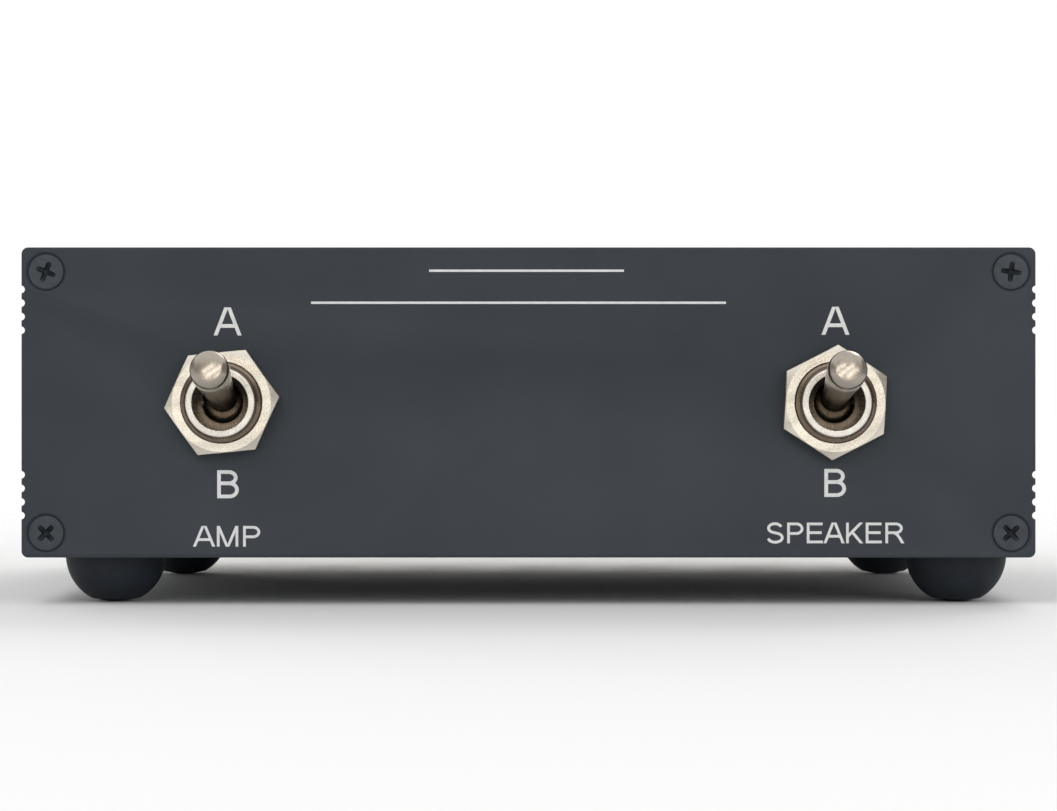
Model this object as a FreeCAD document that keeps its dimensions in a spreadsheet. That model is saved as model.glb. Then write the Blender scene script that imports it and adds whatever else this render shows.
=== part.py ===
import FreeCAD, Part
import os
import Sketcher

# A two-way selector box for amplifiers and loudspeakers: an extruded aluminium case in two
# halves between two flat panels, two four-pole toggle switches in front and sixteen
# binding posts with screw-down clear caps behind.
#
# Frame: millimetres, +Z up, +X to the right as seen from the switches, -Y towards the person
# who uses the switches. The origin is on the surface the box stands on, under the middle of
# the whole object's outline.

SIZES = {
    # case
    "case_width": 152.0,
    "case_height": 46.5,
    "case_depth": 100.0,            # from the front panel's face to the rear panel's face
    "case_offset": 2.6,             # middle of the case in front of the origin
    "corner_radius": 1.0,
    "panel_thickness": 2.0,
    "shell_wall": 1.8,
    "lip_height": 1.2,              # tongue on the upper shell
    "lip_clearance": 0.05,
    # grooves that run along both sides of the case
    "groove_radius": 0.56,
    "groove_depth": 0.5,
    "groove_pitch": 2.04,
    "groove_inset": 6.3,            # from the case's edge to the nearest groove
    # countersunk screws at the corners of both panels
    "screw_inset": 3.65,
    "screw_head_radius": 2.87,
    "screw_shank_radius": 1.45,
    "screw_length": 9.0,
    "screw_seat_clearance": 0.2,
    "screw_hole_clearance": 0.1,
    "recess_width": 0.8,
    "recess_span": 3.1,
    "recess_depth": 1.1,
    "channel_wall": 1.4,            # metal round each screw channel of the shells
    # stick-on feet
    "foot_radius": 7.7,
    "foot_height": 7.2,
    "foot_setback": 12.0,           # from a panel's face to a foot's middle
    "foot_inset_front_left": 12.6,
    "foot_inset_front_right": 10.3,
    "foot_inset_rear_left": 14.5,
    "foot_inset_rear_right": 12.6,
    # binding posts, measured outwards from the rear panel's face
    "post_side_margin": 9.325,      # from the case's side to the nearest column
    "post_top_margin": 12.65,
    "post_bottom_margin": 11.45,
    "post_hole_radius": 4.5,
    "washer_radius": 7.5,
    "washer_thickness": 2.4,
    "washer_bevel": 0.5,
    "washer_clearance": 0.1,
    "inner_washer_radius": 5.6,
    "inner_washer_thickness": 1.5,
    "stud_radius": 1.77,            # the M4 thread's pitch radius
    "stud_clearance": 0.05,
    "stud_tail": 11.0,              # behind the rear panel's face
    "stud_nose": 9.5,
    "stud_nose_bevel": 0.4,
    "stud_dimple_radius": 0.85,
    "stud_dimple_depth": 0.5,
    "flange_radius": 4.2,
    "flange_thickness": 1.5,
    "wire_hole_radius": 0.8,
    "wire_hole_height": 6.3,
    "lug_thickness": 0.5,
    "lug_radius": 3.6,
    "lug_tail_width": 3.0,
    "lug_tail_length": 8.5,
    "post_nut_flats": 7.0,
    "post_nut_thickness": 3.2,
    # screw cap: metal core
    "core_seat_gap": 0.2,
    "core_radius": 4.5,
    "core_collar_radius": 5.5,
    "core_collar_height": 2.5,
    "core_tip": 26.5,
    "socket_radius": 2.05,
    "socket_bevel": 0.55,
    "socket_depth": 16.5,
    # screw cap: clear grip moulded round the core
    "grip_clearance": 0.05,
    "grip_lift": 0.3,               # between the washer and the grip's rim
    "grip_rim_radius": 7.2,
    "grip_rim_height": 2.9,
    "grip_barrel_radius": 6.4,
    "grip_barrel_top": 10.5,
    "grip_waist_radius": 5.7,
    "grip_slope": 0.8,
    "grip_head_start": 17.0,
    "grip_head_radius": 6.35,       # across the corners of the eight-sided head
    "grip_head_top": 25.9,
    "grip_turn": 37.0,              # how much further each cap is turned than the one before
    # toggle switches, measured inwards from the front panel's face
    "switch_side_margin": 30.2,     # from the case's side to a switch's axis
    "bushing_radius": 5.95,
    "bushing_clearance": 0.1,
    "bushing_stand": 4.7,
    "bushing_bevel": 0.87,
    "bushing_mouth_radius": 4.22,
    "bushing_neck_radius": 3.1,
    "bushing_neck_depth": 4.0,
    "nut_flats": 15.0,
    "nut_thickness": 2.5,
    "nut_bevel": 0.15,
    "nut_clearance": 0.05,
    "amp_nut_turn": -5.6,           # seen from the front, counter-clockwise is negative
    "speaker_nut_turn": -27.0,
    "lock_washer_radius": 8.6,
    "lock_washer_thickness": 0.8,
    "lock_washer_tooth": 1.3,
    "back_nut_thickness": 2.4,
    "frame_start": 7.3,             # front of the switch's frame plate
    "frame_thickness": 0.8,
    "frame_tab_length": 9.0,
    "frame_tab_width": 10.0,
    "base_width": 28.0,
    "base_height": 20.0,
    "base_depth": 12.0,
    "base_wall": 1.5,
    "base_floor": 3.4,
    "pole_pitch": 6.0,
    "throw_pitch": 5.5,
    "blade_width": 2.6,
    "blade_thickness": 0.8,
    "blade_end": 25.0,
    # lever of a switch, measured from its pivot
    "pivot_depth": 2.5,             # pivot behind the front panel's face
    "lever_tilt": 12.0,             # to either side of the middle
    "lever_length": 24.0,
    "lever_tip_radius": 2.85,
    "lever_tip_length": 3.5,
    "lever_tip_round": 0.9,
    "lever_neck_radius": 2.0,
    "lever_neck_length": 6.0,
    "lever_stem_radius": 1.6,
    "ball_radius": 3.3,
    "ball_clearance": 0.1,
    "pin_radius": 0.8,
    "pin_clearance": 0.05,
    "pin_inset": 0.35,              # the pin's ends below the bushing's thread
    "actuator_start": 6.6,
    "actuator_thickness": 3.0,
    "actuator_height": 3.4,
    "actuator_side_clearance": 1.0,
    "actuator_skin": 0.6,
    "nose_radius": 0.9,
    "nose_bevel": 0.4,
    "nose_length": 1.4,
    # contact rockers of a switch
    "rocker_tilt": 6.0,
    "rocker_width": 4.0,
    "rocker_half_length": 6.0,
    "rocker_thickness": 1.0,
    "rocker_ridge_radius": 0.9,
    "rocker_gap": 0.3,
    "contact_gap": 0.1,
}

# The eight columns of binding posts from -X to +X, and the two rows.
COLUMNS = [
    ("amp_a", "left"),
    ("amp_a", "right"),
    ("amp_b", "left"),
    ("amp_b", "right"),
    ("speaker_a", "left"),
    ("speaker_a", "right"),
    ("speaker_b", "left"),
    ("speaker_b", "right"),
]
ROWS = ["minus", "plus"]
POLES = 4
GROOVES = 4
WASHER_TEETH = 12

# Planes and lines that many sub-parts share, as expressions of the sheet.
FRONT = "(-Size.case_offset - Size.case_depth / 2)"
REAR = "(-Size.case_offset + Size.case_depth / 2)"
MIDDLE = "(Size.foot_height + Size.case_height / 2)"
POST_SPAN = "(Size.case_width - 2 * Size.post_side_margin)"
ROW_PITCH = "(Size.case_height - Size.post_top_margin - Size.post_bottom_margin)"
SWITCH_X = "(Size.case_width / 2 - Size.switch_side_margin)"
FLANGE = "(Size.washer_thickness + Size.flange_thickness)"
SEAT = f"({FLANGE} + Size.core_seat_gap)"
SOCKET_FLOOR = "(Size.core_tip - Size.socket_depth)"
STUD_BORE = "(Size.stud_radius + Size.stud_clearance)"
CAVITY = "(Size.ball_radius + Size.ball_clearance)"
PLATE_BACK = "(Size.frame_start + Size.frame_thickness)"
NOSE_END = "(Size.actuator_start + Size.actuator_thickness + Size.nose_length)"
FULCRUM = f"(Size.pivot_depth + {NOSE_END} + Size.rocker_gap + Size.rocker_thickness)"
FIRST_POLE = f"(-Size.pole_pitch * {POLES - 1} / 2)"

X_AXIS = FreeCAD.Vector(1, 0, 0)
Y_AXIS = FreeCAD.Vector(0, 1, 0)
Z_AXIS = FreeCAD.Vector(0, 0, 1)

doc = FreeCAD.newDocument("SpeakerSelector")
sheet = doc.addObject("Spreadsheet::Sheet", "Size")
for row, (alias, number) in enumerate(SIZES.items(), 1):
    sheet.set(f"A{row}", alias)
    sheet.set(f"B{row}", str(number))
    sheet.setAlias(f"B{row}", alias)
doc.recompute()


def value(expression):
    """The number an expression of the sheet stands for."""
    result = sheet.evalExpression(expression)
    return result.Value if hasattr(result, "Value") else float(result)


# Building blocks ------------------------------------------------------------------------


def new_body(name):
    """An empty body, which the features below fill."""
    body = doc.addObject("PartDesign::Body", name)
    body.Label = name
    return body


def new_sketch(body, name, role="XZ_Plane", height="0"):
    """A sketch on one of the body's own planes, or above it along the plane's normal."""
    plane = next(p for p in body.Origin.OriginFeatures if p.Role == role)
    sketch = body.newObject("Sketcher::SketchObject", name)
    sketch.AttachmentSupport = [(plane, "")]
    sketch.MapMode = "FlatFace"
    sketch.setExpression("AttachmentOffset.Base.z", height)
    return sketch


def fix_point(sketch, line, point, x, y):
    """Hold one point of a line at a place given by two expressions."""
    for kind, expression in (("DistanceX", x), ("DistanceY", y)):
        rule = Sketcher.Constraint(kind, -1, 1, line, point, value(expression))
        sketch.setExpression(f"Constraints[{sketch.addConstraint(rule)}]", expression)


def draw_polygon(sketch, corners):
    """A closed outline of straight lines through corners, each a pair of expressions."""
    first = sketch.GeometryCount
    places = [FreeCAD.Vector(value(x), value(y), 0) for x, y in corners]
    count = len(places)
    for i in range(count):
        sketch.addGeometry(Part.LineSegment(places[i], places[(i + 1) % count]), False)
    for i in range(count):
        after = first + (i + 1) % count
        sketch.addConstraint(Sketcher.Constraint("Coincident", first + i, 2, after, 1))
    for i, (x, y) in enumerate(corners):
        fix_point(sketch, first + i, 1, x, y)


def draw_rectangle(sketch, left, right, low, high):
    """An upright rectangle between two pairs of expressions."""
    draw_polygon(sketch, [(left, low), (right, low), (right, high), (left, high)])


def draw_regular(sketch, sides, radius):
    """A regular polygon round the sketch's origin, with a corner on its first axis."""
    turns = [f"{360 / sides * i:g} deg" for i in range(sides)]
    draw_polygon(sketch, [(f"{radius} * cos({t})", f"{radius} * sin({t})") for t in turns])


def draw_circle(sketch, x, y, radius):
    """A circle held by three expressions."""
    centre = FreeCAD.Vector(value(x), value(y), 0)
    circle = Part.Circle(centre, FreeCAD.Vector(0, 0, 1), value(radius))
    number = sketch.addGeometry(circle, False)
    fix_point(sketch, number, 3, x, y)
    rule = sketch.addConstraint(Sketcher.Constraint("Radius", number, value(radius)))
    sketch.setExpression(f"Constraints[{rule}]", radius)


def pad(body, name, sketch, length, forwards=True, both_ways=False):
    """Material raised from a sketch. Forwards is along +Y for a sketch on the XZ plane."""
    feature = body.newObject("PartDesign::Pad", name)
    feature.Profile = sketch
    feature.setExpression("Length", length)
    feature.Midplane = both_ways
    feature.Reversed = forwards and not both_ways
    return feature


def pocket(body, name, sketch, length, forwards=True, both_ways=False):
    """Material cut away under a sketch. Forwards is along +Y for a sketch on the XZ plane."""
    feature = body.newObject("PartDesign::Pocket", name)
    feature.Profile = sketch
    feature.setExpression("Length", length)
    feature.Midplane = both_ways
    feature.Reversed = not forwards and not both_ways
    return feature


def turn(body, name, corners, kind="PartDesign::Revolution"):
    """A solid (or, as a Groove, a cut) turned about Y from corners of (radius, distance)."""
    sketch = new_sketch(body, f"{name}Profile", "XY_Plane")
    draw_polygon(sketch, corners)
    feature = body.newObject(kind, name)
    feature.Profile = sketch
    feature.ReferenceAxis = (sketch, ["V_Axis"])
    feature.Angle = 360
    return feature


def repeat(body, name, features, sketch, along_x, along_z=None):
    """Copies of features in a row or a grid, each way given as (count, whole length)."""
    pattern = body.newObject("PartDesign::LinearPattern", name)
    pattern.Originals = features
    pattern.Direction = (sketch, ["H_Axis"])
    pattern.Occurrences = along_x[0]
    pattern.setExpression("Length", along_x[1])
    if along_z:
        pattern.Direction2 = (sketch, ["V_Axis"])
        pattern.Occurrences2 = along_z[0]
        pattern.setExpression("Length2", along_z[1])
    body.Tip = pattern
    return pattern


def round_edges(body, name, chosen, radius):
    """A fillet on the edges of the body so far for which chosen(edge) is true."""
    doc.recompute()
    base = body.Tip
    edges = [f"Edge{i}" for i, edge in enumerate(base.Shape.Edges, 1) if chosen(edge)]
    fillet = body.newObject("PartDesign::Fillet", name)
    fillet.Base = (base, edges)
    fillet.setExpression("Radius", radius)
    return fillet


def place(item, x="0", y="0", z="0", axis=None, angle="0"):
    """Put a sub-part where three expressions say, turned about an axis if one is given."""
    if axis:
        item.Placement = FreeCAD.Placement(FreeCAD.Vector(), FreeCAD.Rotation(axis, 1))
        item.setExpression("Placement.Rotation.Angle", angle)
    for letter, expression in zip("xyz", (x, y, z)):
        item.setExpression(f"Placement.Base.{letter}", expression)
    return item


def group(label, members):
    """Several separate solids that share one node."""
    compound = doc.addObject("Part::Compound", label)
    compound.Label = label
    compound.Links = members
    return compound


def stands_along_y(edge, x, z):
    """Whether an edge runs along Y through the point (x, z), on either side of the middle."""
    box = edge.BoundBox
    near = abs(abs(box.XMin) - x) < 0.01 and abs(abs(box.ZMin) - z) < 0.01
    return near and box.XLength < 0.01 and box.ZLength < 0.01 and box.YLength > 0.1


# Case -------------------------------------------------------------------------------------


def cut_grooves(body, top_starts, length):
    """Round-bottomed grooves along both sides, in groups of four that run downwards."""
    side = "(Size.case_width / 2 + Size.groove_radius - Size.groove_depth)"
    sketch = new_sketch(body, "GrooveProfile")
    for start in top_starts:
        draw_circle(sketch, side, start, "Size.groove_radius")
        draw_circle(sketch, f"-{side}", start, "Size.groove_radius")
    cut = pocket(body, "Grooves", sketch, length, both_ways=True)
    rows = body.newObject("PartDesign::LinearPattern", "GrooveRows")
    rows.Originals = [cut]
    rows.Direction = (sketch, ["V_Axis"])
    rows.Reversed = True
    rows.Occurrences = GROOVES
    rows.setExpression("Length", f"Size.groove_pitch * {GROOVES - 1}")
    body.Tip = rows


UPPER_GROOVES = "(Size.case_height / 2 - Size.groove_inset)"
LOWER_GROOVES = (
    f"(-Size.case_height / 2 + Size.groove_inset + Size.groove_pitch * {GROOVES - 1})"
)


def make_panel(name, face, forwards):
    """A flat end plate with the case's outline and four countersunk holes."""
    body = new_body(name)
    outline = new_sketch(body, "Outline")
    draw_rectangle(
        outline,
        "-Size.case_width / 2",
        "Size.case_width / 2",
        "-Size.case_height / 2",
        "Size.case_height / 2",
    )
    pad(body, "Plate", outline, "Size.panel_thickness", forwards)
    corner = (value("Size.case_width / 2"), value("Size.case_height / 2"))
    round_edges(body, "Corners", lambda e: stands_along_y(e, *corner), "Size.corner_radius")
    cut_grooves(body, [UPPER_GROOVES, LOWER_GROOVES], "Size.panel_thickness * 3")
    centres = new_sketch(body, "ScrewCentres")
    for side in ("", "-"):
        for level in ("", "-"):
            draw_circle(
                centres,
                f"{side}(Size.case_width / 2 - Size.screw_inset)",
                f"{level}(Size.case_height / 2 - Size.screw_inset)",
                "Size.screw_shank_radius",
            )
    doc.recompute()
    hole = body.newObject("PartDesign::Hole", "ScrewHoles")
    hole.Profile = centres
    doc.recompute()
    hole.DepthType = "ThroughAll"
    hole.Reversed = not forwards
    hole.HoleCutType = "Countersink"
    hole.HoleCutCustomValues = True
    hole.HoleCutCountersinkAngle = 90
    hole.setExpression(
        "Diameter", "2 * (Size.screw_shank_radius + Size.screw_hole_clearance)"
    )
    hole.setExpression(
        "HoleCutDiameter", "2 * (Size.screw_head_radius + Size.screw_seat_clearance)"
    )
    place(body, "0", face, MIDDLE)
    return body


def make_front_panel():
    """The plate that carries the two toggle switches."""
    body = make_panel("front_panel", FRONT, True)
    sketch = new_sketch(body, "SwitchHoles")
    for side in ("-", ""):
        draw_circle(
            sketch,
            f"{side}{SWITCH_X}",
            "0",
            "Size.bushing_radius + Size.bushing_clearance",
        )
    pocket(body, "SwitchOpenings", sketch, "Size.panel_thickness", forwards=True)
    return body


def first_post():
    """Where the lowest post nearest -X stands, from the rear panel's middle."""
    return f"(-{POST_SPAN} / 2)", "(Size.post_bottom_margin - Size.case_height / 2)"


def repeat_posts(body, features, sketch):
    """Copies of a post's features at all the posts of the panel."""
    columns = (len(COLUMNS), POST_SPAN)
    repeat(body, "Posts", features, sketch, columns, (len(ROWS), ROW_PITCH))


def make_rear_panel():
    """The plate that carries the binding posts."""
    body = make_panel("rear_panel", REAR, False)
    sketch = new_sketch(body, "PostHole")
    draw_circle(sketch, *first_post(), "Size.post_hole_radius")
    cut = pocket(body, "PostOpening", sketch, "Size.panel_thickness", forwards=False)
    repeat_posts(body, [cut], sketch)
    return body


def make_shell(name, way, profile, grooves):
    """Half of the case: a U-shaped extrusion with a screw channel in each outer corner.

    way is "" for the upper half and "-" for the lower one.
    """
    body = new_body(name)
    length = "(Size.case_depth - 2 * Size.panel_thickness)"
    section = new_sketch(body, "Section")
    draw_polygon(section, profile)
    pad(body, "Shell", section, length, both_ways=True)
    corner = (value("Size.case_width / 2"), value("Size.case_height / 2"))
    round_edges(body, "Corners", lambda e: stands_along_y(e, *corner), "Size.corner_radius")
    x = "(Size.case_width / 2 - Size.screw_inset)"
    z = f"{way}(Size.case_height / 2 - Size.screw_inset)"
    bore = "(Size.screw_shank_radius + Size.screw_hole_clearance / 2)"
    channels = new_sketch(body, "ChannelWalls")
    holes = new_sketch(body, "ChannelBores")
    for side in ("", "-"):
        draw_circle(channels, f"{side}{x}", z, f"{bore} + Size.channel_wall")
        draw_circle(holes, f"{side}{x}", z, bore)
    pad(body, "Channels", channels, length, both_ways=True)
    pocket(body, "Bores", holes, f"{length} + 2", both_ways=True)
    cut_grooves(body, [grooves], f"{length} + 2")
    place(body, "0", "-Size.case_offset", MIDDLE)
    return body


def make_shells():
    """The upper shell with a tongue along both sides, and the lower shell that takes it."""
    out = "Size.case_width / 2"
    mid = "(Size.case_width / 2 - Size.shell_wall / 2)"
    inner = "(Size.case_width / 2 - Size.shell_wall)"
    top = "Size.case_height / 2"
    roof = "(Size.case_height / 2 - Size.shell_wall)"
    lip = "Size.lip_height"
    gap = "Size.lip_clearance"
    right = [
        (out, top),
        (out, "0"),
        (mid, "0"),
        (mid, f"-{lip}"),
        (inner, f"-{lip}"),
        (inner, roof),
    ]
    left = [(f"-{x}", z) for x, z in reversed(right)]
    make_shell("upper_shell", "", right + left, UPPER_GROOVES)
    right = [
        (out, f"-{top}"),
        (out, "0"),
        (f"({mid} + {gap})", "0"),
        (f"({mid} + {gap})", f"-{lip} - {gap}"),
        (inner, f"-{lip} - {gap}"),
        (inner, f"-{roof}"),
    ]
    left = [(f"-{x}", z) for x, z in reversed(right)]
    make_shell("lower_shell", "-", right + left, LOWER_GROOVES)


def make_screws(name, face, axis_turn):
    """Four countersunk screws with a cross recess, flush with a panel's face."""
    body = new_body(name)
    head = "Size.screw_head_radius"
    shank = "Size.screw_shank_radius"
    turned = turn(
        body,
        "Screw",
        [
            ("0", "0"),
            (head, "0"),
            (shank, f"{head} - {shank}"),
            (shank, "Size.screw_length"),
            ("0", "Size.screw_length"),
        ],
    )
    arm = "Size.recess_span / 2"
    half = "Size.recess_width / 2"
    quarter = [(arm, f"-{half}"), (arm, half), (half, half)]
    cross = []
    for _ in range(4):
        cross += quarter
        quarter = [(f"-({z})", x) for x, z in quarter]
    sketch = new_sketch(body, "RecessOutline")
    draw_polygon(sketch, cross)
    recess = pocket(body, "Recess", sketch, "Size.recess_depth")
    reach_x = "(Size.case_width / 2 - Size.screw_inset)"
    reach_z = "(Size.case_height / 2 - Size.screw_inset)"
    repeat(
        body,
        "Corners",
        [turned, recess],
        sketch,
        (2, f"2 * {reach_x}"),
        (2, f"2 * {reach_z}"),
    )
    start_x = f"-{reach_x}" if axis_turn == "0" else reach_x
    place(body, start_x, face, f"{MIDDLE} - {reach_z}", Z_AXIS, axis_turn)
    return body


def make_feet():
    """Four domed rubber feet, stuck on by hand and so not quite in line."""
    feet = []
    for end, way in (("front", 1), ("rear", -1)):
        for side, sign in (("left", "-"), ("right", "")):
            foot = doc.addObject("Part::Sphere", f"{end}_{side}_foot")
            foot.setExpression("Radius", "Size.foot_radius")
            foot.setExpression("Angle1", "-asin(Size.foot_height / Size.foot_radius)")
            foot.Angle2 = 0
            place(
                foot,
                f"{sign}(Size.case_width / 2 - Size.foot_inset_{end}_{side})",
                f"{FRONT if way > 0 else REAR} + {way} * Size.foot_setback",
                "Size.foot_height",
            )
            feet.append(foot)
    return group("rubber_feet", feet)


# Binding posts: local +Y points away from the rear panel's face ------------------------------


def place_posts(body):
    """Stand the lowest post nearest -X of a group on the rear panel."""
    x, z = first_post()
    place(body, x, REAR, f"{MIDDLE} + {z}")
    return body


def make_outer_insulators():
    """Smoky plastic washers between the posts and the panel, with a spigot in the hole."""
    body = new_body("post_outer_insulators")
    bore = STUD_BORE
    spigot = "(Size.post_hole_radius - Size.washer_clearance)"
    back = "-(Size.panel_thickness - Size.washer_clearance)"
    rim = "Size.washer_radius"
    bevel = "Size.washer_bevel"
    turned = turn(
        body,
        "Washer",
        [
            (bore, back),
            (spigot, back),
            (spigot, "0"),
            (rim, "0"),
            (rim, f"Size.washer_thickness - {bevel}"),
            (f"{rim} - {bevel}", "Size.washer_thickness"),
            (bore, "Size.washer_thickness"),
        ],
    )
    repeat_posts(body, [turned], new_sketch(body, "Directions"))
    return place_posts(body)


def make_studs():
    """The fixed metal posts: a threaded rod with a clamping flange and a wire hole."""
    body = new_body("post_studs")
    rod = "Size.stud_radius"
    bevel = "Size.stud_nose_bevel"
    nose = "Size.stud_nose"
    turned = turn(
        body,
        "Rod",
        [
            ("0", "-Size.stud_tail"),
            (rod, "-Size.stud_tail"),
            (rod, "Size.washer_thickness"),
            ("Size.flange_radius", "Size.washer_thickness"),
            ("Size.flange_radius", FLANGE),
            (rod, FLANGE),
            (rod, f"{nose} - {bevel}"),
            (f"{rod} - {bevel}", nose),
            ("Size.stud_dimple_radius", nose),
            ("0", f"{nose} - Size.stud_dimple_depth"),
        ],
    )
    hole = new_sketch(body, "WireHoleOutline", "YZ_Plane")
    draw_circle(hole, "Size.wire_hole_height", "0", "Size.wire_hole_radius")
    drilled = pocket(body, "WireHole", hole, "3 * Size.stud_radius", both_ways=True)
    repeat_posts(body, [turned, drilled], new_sketch(body, "Directions"))
    return place_posts(body)


def make_washers_behind():
    """Insulating washers on the inside of the rear panel."""
    body = new_body("post_inner_insulators")
    sketch = new_sketch(body, "Outline", height="Size.panel_thickness")
    draw_circle(sketch, "0", "0", "Size.inner_washer_radius")
    draw_circle(sketch, "0", "0", STUD_BORE)
    ring = pad(body, "Washer", sketch, "Size.inner_washer_thickness", forwards=False)
    repeat_posts(body, [ring], sketch)
    return place_posts(body)


def make_lugs():
    """Flat solder lugs on the studs, with their tails pointing up."""
    body = new_body("post_solder_lugs")
    start = "(Size.panel_thickness + Size.inner_washer_thickness)"
    eye = new_sketch(body, "EyeOutline", height=start)
    draw_circle(eye, "0", "0", "Size.lug_radius")
    tail = new_sketch(body, "TailOutline", height=start)
    draw_rectangle(
        tail,
        "-Size.lug_tail_width / 2",
        "Size.lug_tail_width / 2",
        "0",
        "Size.lug_tail_length",
    )
    hole = new_sketch(body, "HoleOutline", height=start)
    draw_circle(hole, "0", "0", STUD_BORE)
    features = [
        pad(body, "Eye", eye, "Size.lug_thickness", forwards=False),
        pad(body, "Tail", tail, "Size.lug_thickness", forwards=False),
        pocket(body, "Hole", hole, "Size.lug_thickness", forwards=False),
    ]
    repeat_posts(body, features, eye)
    return place_posts(body)


def make_post_nuts():
    """Hexagon nuts that clamp the posts and their lugs to the panel."""
    body = new_body("post_nuts")
    start = "Size.panel_thickness + Size.inner_washer_thickness + Size.lug_thickness"
    sketch = new_sketch(body, "Outline", height=start)
    draw_regular(sketch, 6, "Size.post_nut_flats / 2 / cos(30 deg)")
    draw_circle(sketch, "0", "0", STUD_BORE)
    nut = pad(body, "Nut", sketch, "Size.post_nut_thickness", forwards=False)
    repeat_posts(body, [nut], sketch)
    return place_posts(body)


def make_core(name):
    """Metal core of a screw cap: threaded at its foot, with a plug socket from its tip."""
    body = new_body(name)
    collar_top = f"({SEAT} + Size.core_collar_height)"
    tip = "Size.core_tip"
    turn(
        body,
        "Core",
        [
            (STUD_BORE, SEAT),
            ("Size.core_collar_radius", SEAT),
            ("Size.core_collar_radius", collar_top),
            ("Size.core_radius", collar_top),
            ("Size.core_radius", tip),
            ("Size.socket_radius + Size.socket_bevel", tip),
            ("Size.socket_radius", f"{tip} - Size.socket_bevel"),
            ("Size.socket_radius", SOCKET_FLOOR),
            (STUD_BORE, SOCKET_FLOOR),
        ],
    )
    return body


def make_grip(name):
    """Clear grip of a screw cap: round rim, barrel and waist, and an eight-sided head."""
    body = new_body(name)
    rim = "Size.grip_rim_radius"
    barrel = "Size.grip_barrel_radius"
    waist = "Size.grip_waist_radius"
    slope = "Size.grip_slope"
    foot = "(Size.washer_thickness + Size.grip_lift)"
    pit = "(Size.core_collar_radius + Size.grip_clearance)"
    bore = "(Size.core_radius + Size.grip_clearance)"
    pit_top = f"({SEAT} + Size.core_collar_height + Size.grip_clearance)"
    turn(
        body,
        "Barrel",
        [
            (pit, foot),
            (rim, foot),
            (rim, f"{foot} + Size.grip_rim_height"),
            (barrel, f"{foot} + Size.grip_rim_height + {slope}"),
            (barrel, "Size.grip_barrel_top"),
            (waist, f"Size.grip_barrel_top + {slope}"),
            (waist, "Size.grip_head_start"),
            (bore, "Size.grip_head_start"),
            (bore, pit_top),
            (pit, pit_top),
        ],
    )
    head = new_sketch(body, "HeadOutline", height="-Size.grip_head_start")
    draw_regular(head, 8, "Size.grip_head_radius")
    draw_circle(head, "0", "0", bore)
    pad(body, "Head", head, "Size.grip_head_top - Size.grip_head_start")
    return body


def make_caps():
    """The sixteen screw caps, each a core and its grip, turned as they were tightened."""
    start_x, start_z = first_post()
    number = 0
    for column, (section, side) in enumerate(COLUMNS):
        for level, sign in enumerate(ROWS):
            x = f"{start_x} + {column} * {POST_SPAN} / {len(COLUMNS) - 1}"
            z = f"{MIDDLE} + {start_z} + {level} * {ROW_PITCH}"
            name = f"{section}_{side}_{sign}"
            place(make_core(f"{name}_core"), x, REAR, z)
            number += 1
            angle = f"mod({number} * Size.grip_turn; 45)"
            place(make_grip(f"{name}_grip"), x, REAR, z, Y_AXIS, angle)


# Toggle switches: local +Y points from the front panel's face into the case ---------------


def at_switch(body, side, depth="0", axis=None, angle="0"):
    """Put a piece on a switch's axis, a depth behind the front panel's face."""
    return place(body, f"{side}{SWITCH_X}", f"{FRONT} + {depth}", MIDDLE, axis, angle)


def make_nut(name, side, start, thickness, angle):
    """A hexagon nut on a bushing, bevelled at its corners and at its thread."""
    body = new_body(name)
    outline = new_sketch(body, "Outline")
    flat = "(Size.nut_flats / 2)"
    corner = f"({flat} / cos(30 deg))"
    outside = f"(2 * {corner})"
    bore = "(Size.bushing_radius + Size.nut_clearance)"
    draw_regular(outline, 6, corner)
    draw_circle(outline, "0", "0", bore)
    pad(body, "Nut", outline, thickness)
    corners = [
        (flat, "0"),
        (outside, "0"),
        (outside, f"({outside} - {flat}) * tan(30 deg)"),
    ]
    turn(body, "CornerBevel", corners, "PartDesign::Groove")
    thread = [
        (f"{bore} - Size.nut_bevel", "0"),
        (f"{bore} + Size.nut_bevel", "0"),
        (f"{bore} - Size.nut_bevel", "2 * Size.nut_bevel"),
    ]
    turn(body, "ThreadBevel", thread, "PartDesign::Groove")
    at_switch(body, side, start, Y_AXIS, angle)
    return body


def make_lock_washer(name, side):
    """A flat washer with teeth round its hole, behind the front panel."""
    body = new_body(name)
    sketch = new_sketch(body, "Outline", height="-Size.panel_thickness")
    bore = "(Size.bushing_radius + Size.nut_clearance)"
    draw_circle(sketch, "0", "0", "Size.lock_washer_radius")
    draw_circle(sketch, "0", "0", bore)
    pad(body, "Ring", sketch, "Size.lock_washer_thickness")
    gap = new_sketch(body, "ToothGap", height="-Size.panel_thickness")
    draw_rectangle(
        gap,
        "-Size.lock_washer_tooth / 3",
        "Size.lock_washer_tooth / 3",
        f"{bore} - Size.lock_washer_tooth",
        f"{bore} + Size.lock_washer_tooth",
    )
    cut = pocket(body, "Gap", gap, "Size.lock_washer_thickness")
    teeth = body.newObject("PartDesign::PolarPattern", "Teeth")
    teeth.Originals = [cut]
    teeth.Axis = (gap, ["N_Axis"])
    teeth.Angle = 360
    teeth.Occurrences = WASHER_TEETH
    body.Tip = teeth
    at_switch(body, side)
    return body


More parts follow.
